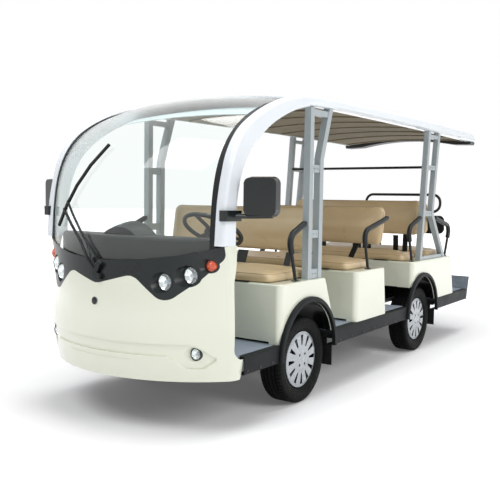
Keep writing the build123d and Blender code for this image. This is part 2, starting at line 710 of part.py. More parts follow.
# Seals: a dark strip over each side edge of the glass
with BuildPart() as windscreen_seals:
    for distance, bow in GLASS_SECTIONS:
        add(bowed_strip(post_plane(distance, 1.0), SHEET_HALF_WIDTH, bow, GLASS_INSET - 1.0 - SEAL_GAP))
    loft()
    Box((RAIL_INNER_X - SEAL_WIDTH) * 2, LENGTH * 2, 6000, mode=Mode.SUBTRACT)
    add(seam_sketch(SEAT_GAP, 600))
    extrude(amount=1000, dir=(0, -1, 0), mode=Mode.SUBTRACT)
    with Locations((0, ROOF_FRONT_Y - SEAT_GAP, 0)):
        Box(SIDE_X * 2, 400, 6000, align=(Align.CENTER, Align.MIN, Align.CENTER), mode=Mode.SUBTRACT)
save(windscreen_seals, "windscreen_seals")


def rail_profile(x):
    """Side view of the post and rail at x."""
    with BuildSketch(side_plane(x)) as profile:
        with BuildLine():
            add(RAIL_TOP)
            Line(RAIL_TIP, RAIL_UNDER_END)
            add(RAIL_UNDER)
            Line(POST_REAR[0], POST_FRONT[0])
        make_face()
    return profile.sketch


# Side rails: each rises as the windscreen post and runs on as the edge of the roof
with BuildPart() as left_rail:
    add(rail_profile(RAIL_INNER_X))
    extrude(amount=RAIL_OUTER_X - RAIL_INNER_X, dir=(1, 0, 0))
    outer_face = left_rail.faces().sort_by(Axis.X)[-1]
    fillet([edge for edge in outer_face.edges() if edge.center().Z > SEAM_SIDE_Z + 10], radius=RAIL_ROUND)
with BuildPart() as side_rails:
    add(left_rail.part)
    mirror(about=Plane.YZ)
save(side_rails, "side_rails")

# Roof panel: one cambered skin between the rails, turned down at the tail
with BuildPart() as roof_panel:
    for y, crown in ROOF_SECTIONS:
        plane = level_plane(y, height_at(RAIL_TOP, y) - GLASS_INSET)
        add(bowed_strip(plane, SHEET_HALF_WIDTH, crown, ROOF_SKIN))
    loft(ruled=True)
save(roof_panel, "roof_panel")

# Ceiling: a thin ribbed lining between the rails
LINER_END_Y = TAIL_Y - LIP_LENGTH
with BuildPart() as roof_liner:
    for y in (LINER_FRONT_Y, ROOF_FRONT_Y, -1030.0, -740.0, -415.0, 120.0, 900.0, 1600.0, LINER_END_Y):
        plane = level_plane(y, height_at(RAIL_UNDER, y) + 12)
        add(bowed_strip(plane, SHEET_HALF_WIDTH, LINER_CROWN, LINER_THICKNESS))
    loft(ruled=True)
    for rib in range(LINER_RIBS):
        y = -1180.0 + rib * (LINER_END_Y + 1180.0 - 120.0) / (LINER_RIBS - 1)
        plane = level_plane(y, height_at(RAIL_UNDER, y) + 12 - LINER_THICKNESS / 2)
        add(bowed_strip(plane, SHEET_HALF_WIDTH - 30, LINER_CROWN - 1.0, LINER_RIB_DEPTH))
        extrude(amount=LINER_RIB_WIDTH, dir=(0, 1, 0))
save(roof_liner, "roof_liner")

# Rear lip: a dark arched band under the tail, thicker at its ends
with BuildPart() as roof_rear_lip:
    for y in (TAIL_Y - LIP_LENGTH + 2.0, RAIL_UNDER_END[0] - 4.0):
        plane = level_plane(y, RAIL_UNDER_END[1] - 2.0)
        with BuildSketch(plane):
            with BuildLine():
                ThreePointArc((-RAIL_OUTER_X + 6, 0), (0, 46), (RAIL_OUTER_X - 6, 0))
                Line((RAIL_OUTER_X - 6, 0), (RAIL_OUTER_X - 16, -LIP_HEIGHT))
                Line((RAIL_OUTER_X - 16, -LIP_HEIGHT), (520, -LIP_HEIGHT + 6))
                ThreePointArc((520, -LIP_HEIGHT + 6), (0, 34), (-520, -LIP_HEIGHT + 6))
                Line((-520, -LIP_HEIGHT + 6), (-RAIL_OUTER_X + 16, -LIP_HEIGHT))
                Line((-RAIL_OUTER_X + 16, -LIP_HEIGHT), (-RAIL_OUTER_X + 6, 0))
            make_face()
    loft()
    add(side_rails.part, mode=Mode.SUBTRACT)
save(roof_rear_lip, "roof_rear_lip")


def member(points, width=TUBE):
    """Side view of one straight or bent bar of constant width."""
    with BuildSketch(side_plane(PILLAR_OUTER_X)) as bar:
        with BuildLine():
            Polyline(*points)
        trace(line_width=width)
    return bar.sketch


# Pillars: two bars each, tied by plates; the rear ones splay to a leg like a letter A
PILLAR_TOP = 1960.0
FRONT_BARS = (
    ((-1111.0, BOX_TOP), (-1111.0, PILLAR_TOP)),
    ((-977.0, BOX_TOP), (-977.0, 1570.0), (-846.0, PILLAR_TOP)),
)
REAR_BARS = (
    ((845.0, BOX_TOP), (907.0, 1320.0), (972.0, PILLAR_TOP)),
    ((1435.0, BOX_TOP - 10), (1097.0, 1200.0), (1217.0, PILLAR_TOP)),
)
# Tie plates: low y, high y, low z, high z
TIE_PLATES = (
    (-1111.0, -977.0, 797.0, 858.0),
    (-1111.0, -977.0, 1062.0, 1112.0),
    (-1111.0, -977.0, 1482.0, 1532.0),
    (-1111.0, -880.0, 1846.0, 1884.0),
    (850.0, 1420.0, 797.0, 824.0),
    (895.0, 1100.0, 1180.0, 1226.0),
    (935.0, 1155.0, 1590.0, 1630.0),
    (962.0, 1200.0, 1868.0, 1900.0),
)
with BuildPart() as left_pillars:
    for bar in FRONT_BARS + REAR_BARS:
        add(member(bar))
    extrude(amount=TUBE, dir=(-1, 0, 0))
    for low_y, high_y, low_z, high_z in TIE_PLATES:
        with Locations((PILLAR_OUTER_X - 4, (low_y + high_y) / 2, (low_z + high_z) / 2)):
            Box(PLATE, high_y - low_y, high_z - low_z, align=(Align.MAX, Align.CENTER, Align.CENTER))
    with Locations((0, 0, BOX_TOP)):
        Box(SIDE_X * 2, LENGTH, 100, align=(Align.CENTER, Align.CENTER, Align.MAX), mode=Mode.SUBTRACT)
    add(rail_profile(0))
    extrude(amount=SIDE_X, dir=(1, 0, 0), mode=Mode.SUBTRACT)
    add(rail_profile(0).moved(Location((0, 0, 40))))
    extrude(amount=SIDE_X, dir=(1, 0, 0), mode=Mode.SUBTRACT)
with BuildPart() as roof_pillars:
    add(left_pillars.part)
    mirror(about=Plane.YZ)
save(roof_pillars, "roof_pillars")

# Cushions: plain pads with rounded corners on the seat boxes
with BuildPart() as seat_cushions:
    for front_y, rear_y in CUSHION_ROWS:
        with BuildSketch(Plane.XY.offset(BOX_TOP + SEAT_GAP)):
            with Locations((0, (front_y + rear_y) / 2)):
                RectangleRounded(2 * CUSHION_HALF_WIDTH, rear_y - front_y, CUSHION_CORNER)
        extrude(amount=CUSHION_THICKNESS)
save(seat_cushions, "seat_cushions")

# Backs: leaning pads with rounded corners
with BuildPart() as seat_backs:
    for y, z, way in BACK_ROWS:
        lean = radians(BACK_LEAN)
        plane = Plane(origin=(0, y, z), x_dir=(1, 0, 0), z_dir=(0, way * cos(lean), sin(lean)))
        with BuildSketch(plane):
            RectangleRounded(2 * BACK_HALF_WIDTH, BACK_HEIGHT, BACK_CORNER)
        extrude(amount=-BACK_THICKNESS)
save(seat_backs, "seat_backs")

# Back supports: flat bars from the boxes to the lower edges of the backs
SUPPORT_FOOT_Y = (-961.0, -13.0, 962.0, 1168.0)
with BuildPart() as back_supports:
    for (y, z, way), foot_y in zip(BACK_ROWS, SUPPORT_FOOT_Y):
        lean = radians(BACK_LEAN)
        low_y = y + way * (BACK_HEIGHT / 2 * sin(lean) - BACK_THICKNESS / 2 * cos(lean))
        low_z = z - BACK_HEIGHT / 2 * cos(lean) - BACK_THICKNESS / 2 * sin(lean) - SEAT_GAP
        half = SUPPORT_THICKNESS / 2
        drop = half * sin(lean) / cos(lean) * way
        with BuildSketch(side_plane(0)) as blade:
            with BuildLine():
                Polyline(
                    (foot_y - half, BOX_TOP),
                    (foot_y + half, BOX_TOP),
                    (low_y + half, low_z + drop),
                    (low_y - half, low_z - drop),
                    close=True,
                )
            make_face()
        for x in SUPPORT_X:
            add(blade.sketch.moved(Location((x - SUPPORT_WIDTH / 2, 0, 0))))
            extrude(amount=SUPPORT_WIDTH, dir=(1, 0, 0))
save(back_supports, "back_supports")

# Armrests: foot y, knee y, end y, end z, and whether the end turns in to the seat back
ARMREST_X = 690.0
ARMREST_TUBE = 11.0
ARMREST_GRIP = 20.0
ARMREST_KNEE_Z = 1078.0
ARMREST_BEND = 70.0
ARMRESTS = (
    (-1245.0, -1330.0, -1111.0 - TUBE / 2 - SEAT_GAP, 1160.0, False),
    (-185.0, -268.0, 172.0, 1178.0, True),
    (690.0, 595.0, 866.0, 1172.0, False),
    (1518.0, 1632.0, 1172.0, 1172.0, False),
)
# Foot plate: width, length, corner radius
FOOT_PLATE = (34.0, 52.0, 6.0)
FOOT_PLATE_THICKNESS = 5.0
with BuildPart() as left_armrests:
    for foot_y, knee_y, end_y, end_z, turns_in in ARMRESTS:
        foot = Vector(ARMREST_X, foot_y, BOX_TOP)
        knee = Vector(ARMREST_X, knee_y, ARMREST_KNEE_Z)
        end = Vector(ARMREST_X, end_y, end_z)
        route = [foot, knee, end]
        bends = [ARMREST_BEND]
        if turns_in:
            route.append(Vector(BACK_HALF_WIDTH + SEAT_GAP, end_y, end_z))
            bends.append(ARMREST_TUBE * 1.4)
        with BuildLine() as tube_path:
            FilletPolyline(*route, radius=bends)
        with BuildSketch(Plane(origin=foot, z_dir=tube_path.wires()[0] % 0)):
            Circle(ARMREST_TUBE)
        sweep(path=tube_path.wires()[0])
        grip_start = foot + (knee - foot) * 0.62
        grip_end = knee + (end - knee) * 0.9
        with BuildLine() as grip_path:
            FilletPolyline(grip_start, knee, grip_end, radius=ARMREST_BEND)
        with BuildSketch(Plane(origin=grip_start, z_dir=grip_path.wires()[0] % 0)):
            Circle(ARMREST_GRIP)
        sweep(path=grip_path.wires()[0])
        with BuildSketch(Plane.XY.offset(BOX_TOP)):
            with Locations((ARMREST_X, foot_y)):
                RectangleRounded(*FOOT_PLATE)
        extrude(amount=FOOT_PLATE_THICKNESS)
    with Locations((0, 0, BOX_TOP)):
        Box(SIDE_X * 2, LENGTH, 100, align=(Align.CENTER, Align.CENTER, Align.MAX), mode=Mode.SUBTRACT)
    add(left_pillars.part, mode=Mode.SUBTRACT)
with BuildPart() as armrests:
    add(left_armrests.part)
    mirror(about=Plane.YZ)
save(armrests, "armrests")

# Rear guard rail on the step, and the rod between the rear pillars
GUARD_LEG_X = 240.0
GUARD_LEG_RADIUS = 11.0
GUARD_PANEL = (470.0, 975.0, 1165.0, 55.0)
GUARD_PANEL_THICKNESS = 18.0
ROD_RADIUS = 11.0
ROD_Y = 938.0
ROD_Z = 1610.0
with BuildPart() as rear_handrail:
    with BuildLine(level_plane(GUARD_Y, (GUARD_TOP + GUARD_LOW) / 2)) as hoop:
        high = (GUARD_TOP - GUARD_LOW) / 2 - GUARD_TUBE
        loop = Polyline(
            (-GUARD_HALF_WIDTH, -high),
            (GUARD_HALF_WIDTH, -high),
            (GUARD_HALF_WIDTH, high),
            (-GUARD_HALF_WIDTH, high),
            close=True,
        )
        fillet(loop.vertices(), radius=GUARD_CORNER)
    with BuildSketch(Plane(origin=hoop.wires()[0] @ 0, z_dir=hoop.wires()[0] % 0)):
        Circle(GUARD_TUBE)
    sweep(path=hoop.wires()[0])
    panel_half, panel_low, panel_high, panel_corner = GUARD_PANEL
    leg_height = GUARD_LOW + GUARD_TUBE - STEP_PLATE_TOP
    for side in (-1, 1):
        with Locations((side * GUARD_LEG_X, GUARD_Y, STEP_PLATE_TOP)):
            Cylinder(GUARD_LEG_RADIUS, leg_height, align=(Align.CENTER, Align.CENTER, Align.MIN))
    with BuildSketch(front_plane(GUARD_Y + GUARD_PANEL_THICKNESS / 2)):
        with Locations((0, (panel_low + panel_high) / 2)):
            RectangleRounded(2 * panel_half, panel_high - panel_low, panel_corner)
    extrude(amount=GUARD_PANEL_THICKNESS)
    with BuildSketch(side_plane(0)):
        with Locations((ROD_Y, ROD_Z)):
            Circle(ROD_RADIUS)
    extrude(amount=PILLAR_OUTER_X - TUBE - SEAT_GAP, both=True)
save(rear_handrail, "rear_handrail")

# Rear step plate: leans back from the end of the floor
with BuildPart() as rear_step:
    with BuildSketch(side_plane(0)):
        with BuildLine():
            Polyline(
                (STEP_END_Y + SEAT_GAP, SKIRT_BOTTOM),
                (STEP_END_Y + SEAT_GAP, FLOOR_Z - 20),
                (STEP_END_Y + STEP_PLATE_LEAN - STEP_PLATE, STEP_PLATE_TOP),
                (STEP_END_Y + STEP_PLATE_LEAN, STEP_PLATE_TOP),
                (STEP_END_Y + STEP_PLATE, SKIRT_BOTTOM),
                close=True,
            )
        make_face()
    extrude(amount=SKIRT_X, both=True)
    fillet(rear_step.edges().filter_by(Axis.X).group_by(Axis.Z)[-1], radius=6)
save(rear_step, "rear_step")

# Tail lamps on the back of the step plate
TAIL_LAMP_X = 600.0
TAIL_LAMP_SIZE = (150.0, 70.0, 22.0)
rear_slope = Vector(0, STEP_PLATE_LEAN - STEP_PLATE, STEP_PLATE_TOP - SKIRT_BOTTOM).normalized()
with BuildPart() as tail_lamps:
    for side in (-1, 1):
        spot = Vector(side * TAIL_LAMP_X, STEP_END_Y + STEP_PLATE, SKIRT_BOTTOM) + rear_slope * 120
        with BuildSketch(Plane(origin=spot, x_dir=(-1, 0, 0), z_dir=(0, rear_slope.Z, -rear_slope.Y))):
            RectangleRounded(TAIL_LAMP_SIZE[0], TAIL_LAMP_SIZE[1], 20)
        extrude(amount=TAIL_LAMP_SIZE[2])
save(tail_lamps, "tail_lamps")

# Mud flaps behind the wheels, hung from the deck inside the skirts
FLAP_INNER_X = 562.0
FLAP_OUTER_X = 734.0
with BuildPart() as mud_flaps:
    for axle_y in (FRONT_AXLE_Y, REAR_AXLE_Y):
        with BuildSketch(front_plane(axle_y + WELL_RADIUS + 12)):
            for side in (-1, 1):
                with BuildLine():
                    Polyline(
                        (side * FLAP_INNER_X, DECK_BOTTOM),
                        (side * (SKIRT_X - SKIRT_DEPTH - 1), DECK_BOTTOM),
                        (side * (SKIRT_X - SKIRT_DEPTH - 1), SKIRT_BOTTOM - 1),
                        (side * FLAP_OUTER_X, SKIRT_BOTTOM - 1),
                        (side * FLAP_OUTER_X, FLAP_BOTTOM),
                        (side * FLAP_INNER_X, FLAP_BOTTOM),
                        close=True,
                    )
                make_face()
        extrude(amount=FLAP_THICKNESS)
save(mud_flaps, "mud_flaps")

# Dashboard: a cowl across the nose under the glass, with a raised pod in the middle
DASH_TOP = 1085.0
DASH_LOW = 830.0
DASH_BACK_Y = -1905.0
DASH_INSET = 72.0
DASH_SHELF = NOSE_SECTIONS[3]
DASH_BRACKET_Y = -1985.0
DASH_BRACKET_WIDTH = 40.0
DASH_BRACKET_DEPTH = 16.0
DASH_CORNER = 30.0
DASH_EDGE = 24.0
# Pod on the dashboard: x of its two feet and of its top, height of the top, length, draft in degrees
POD = (-260.0, 150.0, -60.0, 78.0, 130.0, 14.0)
POD_SINK = 30.0
with BuildPart() as dashboard:
    add(nose_plan((DASH_LOW,) + NOSE_SECTIONS[-1][1:4] + (NOSE_SECTIONS[-1][4] + DASH_CORNER,), DASH_INSET))
    extrude(amount=DASH_TOP - DASH_LOW, dir=(0, 0, 1))
    with Locations((0, DASH_BACK_Y, 0)):
        Box(SIDE_X * 2, 1000, 3000, align=(Align.CENTER, Align.MIN, Align.CENTER), mode=Mode.SUBTRACT)
    fillet(dashboard.faces().sort_by(Axis.Z)[-1].edges(), radius=DASH_EDGE)
    with BuildSketch(Plane.XY.offset(DASH_SHELF[0])):
        add(nose_plan((0.0,) + DASH_SHELF[1:], NOSE_WALL + SEAT_GAP))
        with Locations((0, DASH_BRACKET_Y)):
            Rectangle(2 * SIDE_X, DASH_BRACKET_WIDTH, mode=Mode.INTERSECT)
    extrude(amount=-DASH_BRACKET_DEPTH)
    pod_left, pod_right, pod_middle, pod_height, pod_length, pod_draft = POD
    pod_foot = DASH_TOP - POD_SINK
    with BuildSketch(front_plane(DASH_BACK_Y - 10)):
        with BuildLine():
            ThreePointArc((pod_left, pod_foot), (pod_middle, DASH_TOP + pod_height), (pod_right, pod_foot))
            Line((pod_right, pod_foot), (pod_left, pod_foot))
        make_face()
    extrude(amount=pod_length, taper=pod_draft)
save(dashboard, "dashboard")

# Steering wheel, turned about its leaning column
HORN_PAD_RADIUS = 46.0
SPOKES = 3
SPOKE_WIDTH = 30.0
SPOKE_WALL = 8.0
SPOKE_DROP = 12.0
lean = radians(COLUMN_LEAN)
COLUMN_WAY = Vector(0, sin(lean), cos(lean))
wheel_plane = Plane(origin=STEERING_CENTRE, x_dir=(1, 0, 0), z_dir=COLUMN_WAY)
with BuildPart() as steering_wheel:
    with BuildSketch(Plane(origin=wheel_plane.origin, x_dir=(1, 0, 0), z_dir=wheel_plane.y_dir)):
        with Locations((STEERING_WHEEL_RADIUS - STEERING_RIM, 0)):
            Circle(STEERING_RIM)
    revolve(axis=Axis(wheel_plane.origin, COLUMN_WAY))
    with BuildSketch(wheel_plane.offset(-HUB_BOSS)):
        Circle(HORN_PAD_RADIUS)
    extrude(amount=HUB_BOSS)
    with BuildSketch(wheel_plane.offset(-SPOKE_DROP)):
        with PolarLocations(STEERING_WHEEL_RADIUS / 2 - 4, SPOKES, 30):
            Rectangle(STEERING_WHEEL_RADIUS - SPOKE_WIDTH, SPOKE_WIDTH)
    extrude(amount=SPOKE_WALL)
save(steering_wheel, "steering_wheel")

# Driver's controls: column, two pedals, parking brake lever, steering gear and the shaft to it
STEER_BOX_TOP = 398.0
STEER_BOX_LOW = 308.0
STEER_BOX_LENGTH = 110.0
STEER_BOX_WIDTH = 2 * (PITMAN_X - FRAME_RAIL_X - FRAME_RAIL_WIDTH / 2 - SEAT_GAP)
STEER_SHAFT_Z = 334.0
PITMAN_Y = FRONT_AXLE_Y + PITMAN_LEAD
column_top = wheel_plane.origin - COLUMN_WAY * (HUB_BOSS + SEAT_GAP)
shaft_knee = Vector(*COLUMN_FOOT, STEER_SHAFT_Z)
shaft_end = Vector(PITMAN_X, PITMAN_Y - STEER_BOX_LENGTH / 2, STEER_SHAFT_Z)
# Pedal x: brake, then drive
PEDAL_X = (STEERING_CENTRE[0] - 60.0, STEERING_CENTRE[0] + 90.0)
PEDAL_Y = -2010.0
PEDAL_HEIGHT = 40.0
PEDAL_LEAN = 35.0
PEDAL_PAD = (60.0, 90.0, 12.0)
PEDAL_STEM = (16.0, 16.0, 42.0)
# Foot of the parking brake lever: x, y, width, length, height
CONSOLE = (20.0, -1580.0, 70.0, 160.0, 50.0)
LEVER_RADIUS = 13.0
LEVER_LENGTH = 300.0
LEVER_LEAN = 20.0
with BuildPart() as driver_controls:
    with BuildSketch(Plane(origin=column_top, x_dir=(1, 0, 0), z_dir=-COLUMN_WAY)):
        Circle(COLUMN_RADIUS)
    extrude(amount=(column_top.Z - FLOOR_Z) / COLUMN_WAY.Z + 60)
    with Locations((0, 0, FLOOR_Z)):
        Box(SIDE_X * 2, LENGTH, 300, align=(Align.CENTER, Align.CENTER, Align.MAX), mode=Mode.SUBTRACT)
    with Locations((*COLUMN_FOOT, FLOOR_Z)):
        Cylinder(COLUMN_RADIUS * 1.9, 6, align=(Align.CENTER, Align.CENTER, Align.MIN))
    with Locations((*COLUMN_FOOT, STEER_SHAFT_Z)):
        Cylinder(
            STEER_SHAFT_RADIUS,
            FLOOR_Z - SEAT_GAP - STEER_SHAFT_Z,
            align=(Align.CENTER, Align.CENTER, Align.MIN),
        )
    with Locations(shaft_knee):
        Sphere(STEER_SHAFT_RADIUS * 1.3)
    with BuildSketch(Plane(origin=shaft_knee, z_dir=shaft_end - shaft_knee)):
        Circle(STEER_SHAFT_RADIUS)
    extrude(amount=(shaft_end - shaft_knee).length + 5)
    for pedal_x in PEDAL_X:
        with Locations(Location((pedal_x, PEDAL_Y, FLOOR_Z + PEDAL_HEIGHT), (PEDAL_LEAN, 0, 0))):
            Box(*PEDAL_PAD)
        with Locations((pedal_x, PEDAL_Y, FLOOR_Z)):
            Box(*PEDAL_STEM, align=(Align.CENTER, Align.CENTER, Align.MIN))
    with Locations((CONSOLE[0], CONSOLE[1], FLOOR_Z)):
        Box(*CONSOLE[2:], align=(Align.CENTER, Align.CENTER, Align.MIN))
    with Locations(Location((CONSOLE[0], CONSOLE[1] - 10, FLOOR_Z + CONSOLE[4] - 10), (LEVER_LEAN, 0, 0))):
        Cylinder(LEVER_RADIUS, LEVER_LENGTH, align=(Align.CENTER, Align.CENTER, Align.MIN))
    with Locations((PITMAN_X, PITMAN_Y, STEER_BOX_LOW)):
        Box(
            STEER_BOX_WIDTH,
            STEER_BOX_LENGTH,
            STEER_BOX_TOP - STEER_BOX_LOW,
            align=(Align.CENTER, Align.CENTER, Align.MIN),
        )
save(driver_controls, "driver_controls")

# Mirrors: a clamp round each post, an arm and a head turned to the driver
MIRROR_WIDTH = 200.0
MIRROR_HEIGHT = 218.0
MIRROR_DEPTH = 58.0
MIRROR_YAW = 15.0
MIRROR_Z = 1318.0
MIRROR_SPOT = (829.0, -1838.0)
MIRROR_CORNER = 40.0
MIRROR_TAPER = 8.0
MIRROR_ARM = 13.0
MIRROR_ARM_BEND = 40.0
MIRROR_ARM_ROUTE = ((RAIL_OUTER_X + 6, -1960.0, 1212.0), (770.0, -1890.0, 1211.0), (905.0, -1852.0, 1216.0))
# Clamp round the post: x and y of its middle, width, length, corner radius, then its foot and height
MIRROR_CLAMP_SPOT = (RAIL_OUTER_X - 6, -1970.0)
MIRROR_CLAMP = (52.0, 150.0, 12.0)
MIRROR_CLAMP_Z = 1184.0
MIRROR_CLAMP_HEIGHT = 58.0
yaw = radians(MIRROR_YAW)
mirror_plane = Plane(origin=(*MIRROR_SPOT, MIRROR_Z), x_dir=(cos(yaw), sin(yaw), 0), z_dir=(sin(yaw), -cos(yaw), 0))
with BuildPart() as left_mirror:
    with BuildSketch(mirror_plane):
        RectangleRounded(MIRROR_WIDTH, MIRROR_HEIGHT, MIRROR_CORNER)
    extrude(amount=MIRROR_DEPTH, taper=MIRROR_TAPER)
    with BuildLine() as arm_path:
        FilletPolyline(*MIRROR_ARM_ROUTE, radius=MIRROR_ARM_BEND)
    with BuildSketch(Plane(origin=arm_path.wires()[0] @ 0, z_dir=arm_path.wires()[0] % 0)):
        Circle(MIRROR_ARM)
    sweep(path=arm_path.wires()[0])
    with BuildSketch(Plane.XY.offset(MIRROR_CLAMP_Z)):
        with Locations(MIRROR_CLAMP_SPOT):
            RectangleRounded(*MIRROR_CLAMP)
    extrude(amount=MIRROR_CLAMP_HEIGHT)
    add(left_rail.part, mode=Mode.SUBTRACT)
    add(windscreen_seals.part, mode=Mode.SUBTRACT)
    add(windscreen.part, mode=Mode.SUBTRACT)
with BuildPart() as mirrors:
    add(left_mirror.part)
    mirror(about=Plane.YZ)
save(mirrors, "mirrors")

# Wiper: pivot on the dark panel, twin arms and a long blade that follow the glass
WIPER_PIVOT = (28.0, 862.0)
WIPER_PIVOT_RADIUS = 17.0
WIPER_PIVOT_LENGTH = 20.0
WIPER_ARM = 6.0
WIPER_LOW_STANDOFF = 14.0
WIPER_STANDOFF = 27.0
WIPER_LINKS = 4
# The second arm bends where it leaves the panel for the glass, which lies further back
WIPER_TIE = (6.0, 900.0)
WIPER_BEND = (-46.0, 952.0)
WIPER_TIE_SIZE = (30.0, 12.0, 90.0)
WIPER_TIE_LEAN = 25.0
BLADE_STANDOFF = 20.0
# Each bar: x, z and distance outside the glass at its start, the same at its end, half thickness
WIPER_BARS = (
    (*WIPER_PIVOT, WIPER_LOW_STANDOFF, -406.0, 1227.0, WIPER_STANDOFF, WIPER_ARM),
    (*WIPER_TIE, WIPER_LOW_STANDOFF, *WIPER_BEND, WIPER_LOW_STANDOFF, WIPER_ARM - 1.0),
    (*WIPER_BEND, WIPER_LOW_STANDOFF, -370.0, 1275.0, WIPER_STANDOFF, WIPER_ARM - 1.0),
    (-478.0, 1131.0, BLADE_STANDOFF, -119.0, 1610.0, BLADE_STANDOFF, WIPER_ARM + 1.0),
)


def glass_spot(x, z, standoff):
    """Point in front of the glass or the panel below it, seen straight from the front."""
    line_of_sight = Axis((x, NOSE_Y - 500, z), (0, 1, 0))
    hits = windscreen.part.find_intersection_points(line_of_sight)
    hits = hits or lamp_panel.part.find_intersection_points(line_of_sight)
    return Vector(x, min(point.Y for point, _ in hits) - standoff, z)


with BuildPart() as wiper:
    for start_x, start_z, start_off, end_x, end_z, end_off, half in WIPER_BARS:
        spots = []
        for link in range(WIPER_LINKS + 1):
            share = link / WIPER_LINKS
            x = start_x + share * (end_x - start_x)
            z = start_z + share * (end_z - start_z)
            spots.append(glass_spot(x, z, start_off + share * (end_off - start_off)))
        for near, far in zip(spots, spots[1:]):
            along = (far - near).normalized()
            with BuildSketch(Plane(origin=near - along * half, z_dir=along)):
                Rectangle(2 * half, 2 * half)
            extrude(amount=(far - near).length + 2 * half)
    pivot_x, pivot_z = WIPER_PIVOT
    pivot_seat = glass_spot(pivot_x, pivot_z - WIPER_PIVOT_RADIUS, SEAT_GAP)
    with Locations(Location((pivot_x, pivot_seat.Y, pivot_z), (90, 0, 0))):
        Cylinder(WIPER_PIVOT_RADIUS, WIPER_PIVOT_LENGTH, align=(Align.CENTER, Align.CENTER, Align.MIN))
    with Locations(glass_spot(*WIPER_TIE, WIPER_LOW_STANDOFF + 1)):
        Box(*WIPER_TIE_SIZE, rotation=(0, WIPER_TIE_LEAN, 0))
save(wiper, "wiper")

# Tyre: outboard along x, radius along y, spun into a ring
with BuildPart() as tyre:
    half = TYRE_WIDTH / 2
    with BuildSketch():
        with BuildLine():
            Line((-BEAD_HALF_WIDTH, BEAD_RADIUS), (BEAD_HALF_WIDTH, BEAD_RADIUS))
            Line((BEAD_HALF_WIDTH, BEAD_RADIUS), (BEAD_HALF_WIDTH, COVER_RADIUS + 3))
            ThreePointArc(
                (BEAD_HALF_WIDTH, COVER_RADIUS + 3), (half - 7, COVER_RADIUS + 24), (half, COVER_RADIUS + 52)
            )
            Line((half, COVER_RADIUS + 52), (half, TYRE_RADIUS - TYRE_SHOULDER))
            RadiusArc((half, TYRE_RADIUS - TYRE_SHOULDER), (half - TYRE_SHOULDER, TYRE_RADIUS), -TYRE_SHOULDER)
            Line((half - TYRE_SHOULDER, TYRE_RADIUS), (TYRE_SHOULDER - half, TYRE_RADIUS))
            RadiusArc((TYRE_SHOULDER - half, TYRE_RADIUS), (-half, TYRE_RADIUS - TYRE_SHOULDER), -TYRE_SHOULDER)
            Line((-half, TYRE_RADIUS - TYRE_SHOULDER), (-half, COVER_RADIUS + 52))
            ThreePointArc(
                (-half, COVER_RADIUS + 52), (7 - half, COVER_RADIUS + 24), (-BEAD_HALF_WIDTH, COVER_RADIUS + 3)
            )
            Line((-BEAD_HALF_WIDTH, COVER_RADIUS + 3), (-BEAD_HALF_WIDTH, BEAD_RADIUS))
        make_face()
    revolve(axis=Axis.X)

# Wheel: rim, disc, hub and brake drum in one, with a slotted cover pressed on the outer flange
HUB_REACH = 30.0
HUB_BLIND = 25.0
DISC_X = 2.0
rim_outer = BEAD_RADIUS - SEAT_GAP
rim_inner = rim_outer - RIM_WALL
flange_x = BEAD_HALF_WIDTH + SEAT_GAP
rim_x = flange_x + FLANGE_WIDTH
flange_radius = BEAD_RADIUS + FLANGE_HEIGHT
bore = SPINDLE_RADIUS + SEAT_GAP
disc_outer_x = DISC_X + DISC_WALL
drum_inner = DRUM_RADIUS - DRUM_WALL
with BuildPart() as wheel:
    with BuildSketch():
        Polygon(
            (HUB_BLIND, 0),
            (HUB_BLIND, bore),
            (-HUB_REACH, bore),
            (-HUB_REACH, HUB_RADIUS),
            (DISC_X, HUB_RADIUS),
            (DISC_X, drum_inner),
            (-DRUM_DEPTH, drum_inner),
            (-DRUM_DEPTH, DRUM_RADIUS),
            (DISC_X, DRUM_RADIUS),
            (DISC_X, rim_inner),
            (-rim_x, rim_inner),
            (-rim_x, flange_radius),
            (-flange_x, flange_radius),
            (-flange_x, rim_outer),
            (flange_x, rim_outer),
            (flange_x, flange_radius),
            (rim_x, flange_radius),
            (rim_x, rim_inner),
            (disc_outer_x, rim_inner),
            (disc_outer_x, HUB_RADIUS),
            (HUB_REACH, HUB_RADIUS),
            (HUB_REACH, 0),
            align=None,
        )
        Polygon(
            (COVER_FACE, 0),
            (COVER_FACE, SLOT_INNER - 30),
            (COVER_FACE - 4, SLOT_INNER),
            (COVER_FACE - 5, SLOT_OUTER),
            (rim_x + 5, COVER_RADIUS),
            (rim_x, COVER_RADIUS),
            (rim_x, COVER_RADIUS - 10),
            (COVER_FACE - 5 - COVER_WALL, SLOT_OUTER),
            (COVER_FACE - 4 - COVER_WALL, SLOT_INNER),
            (COVER_FACE - COVER_WALL, SLOT_INNER - 30),
            (COVER_FACE - COVER_WALL, 0),
            align=None,
        )
    revolve(axis=Axis.X)
    with BuildSketch(side_plane(COVER_FACE + 1)) as cover_openings:
        with PolarLocations(0, COVER_SLOTS):
            Polygon(
                (SLOT_INNER, -SLOT_INNER_WIDTH / 2),
                (SLOT_OUTER, -SLOT_OUTER_WIDTH / 2),
                (SLOT_OUTER, SLOT_OUTER_WIDTH / 2),
                (SLOT_INNER, SLOT_INNER_WIDTH / 2),
                align=None,
            )
        fillet(cover_openings.vertices(), radius=SLOT_ROUND)
        with PolarLocations(LUG_CIRCLE, LUG_DIMPLES, 45):
            Circle(LUG_HOLE)
    extrude(amount=-12, mode=Mode.SUBTRACT)

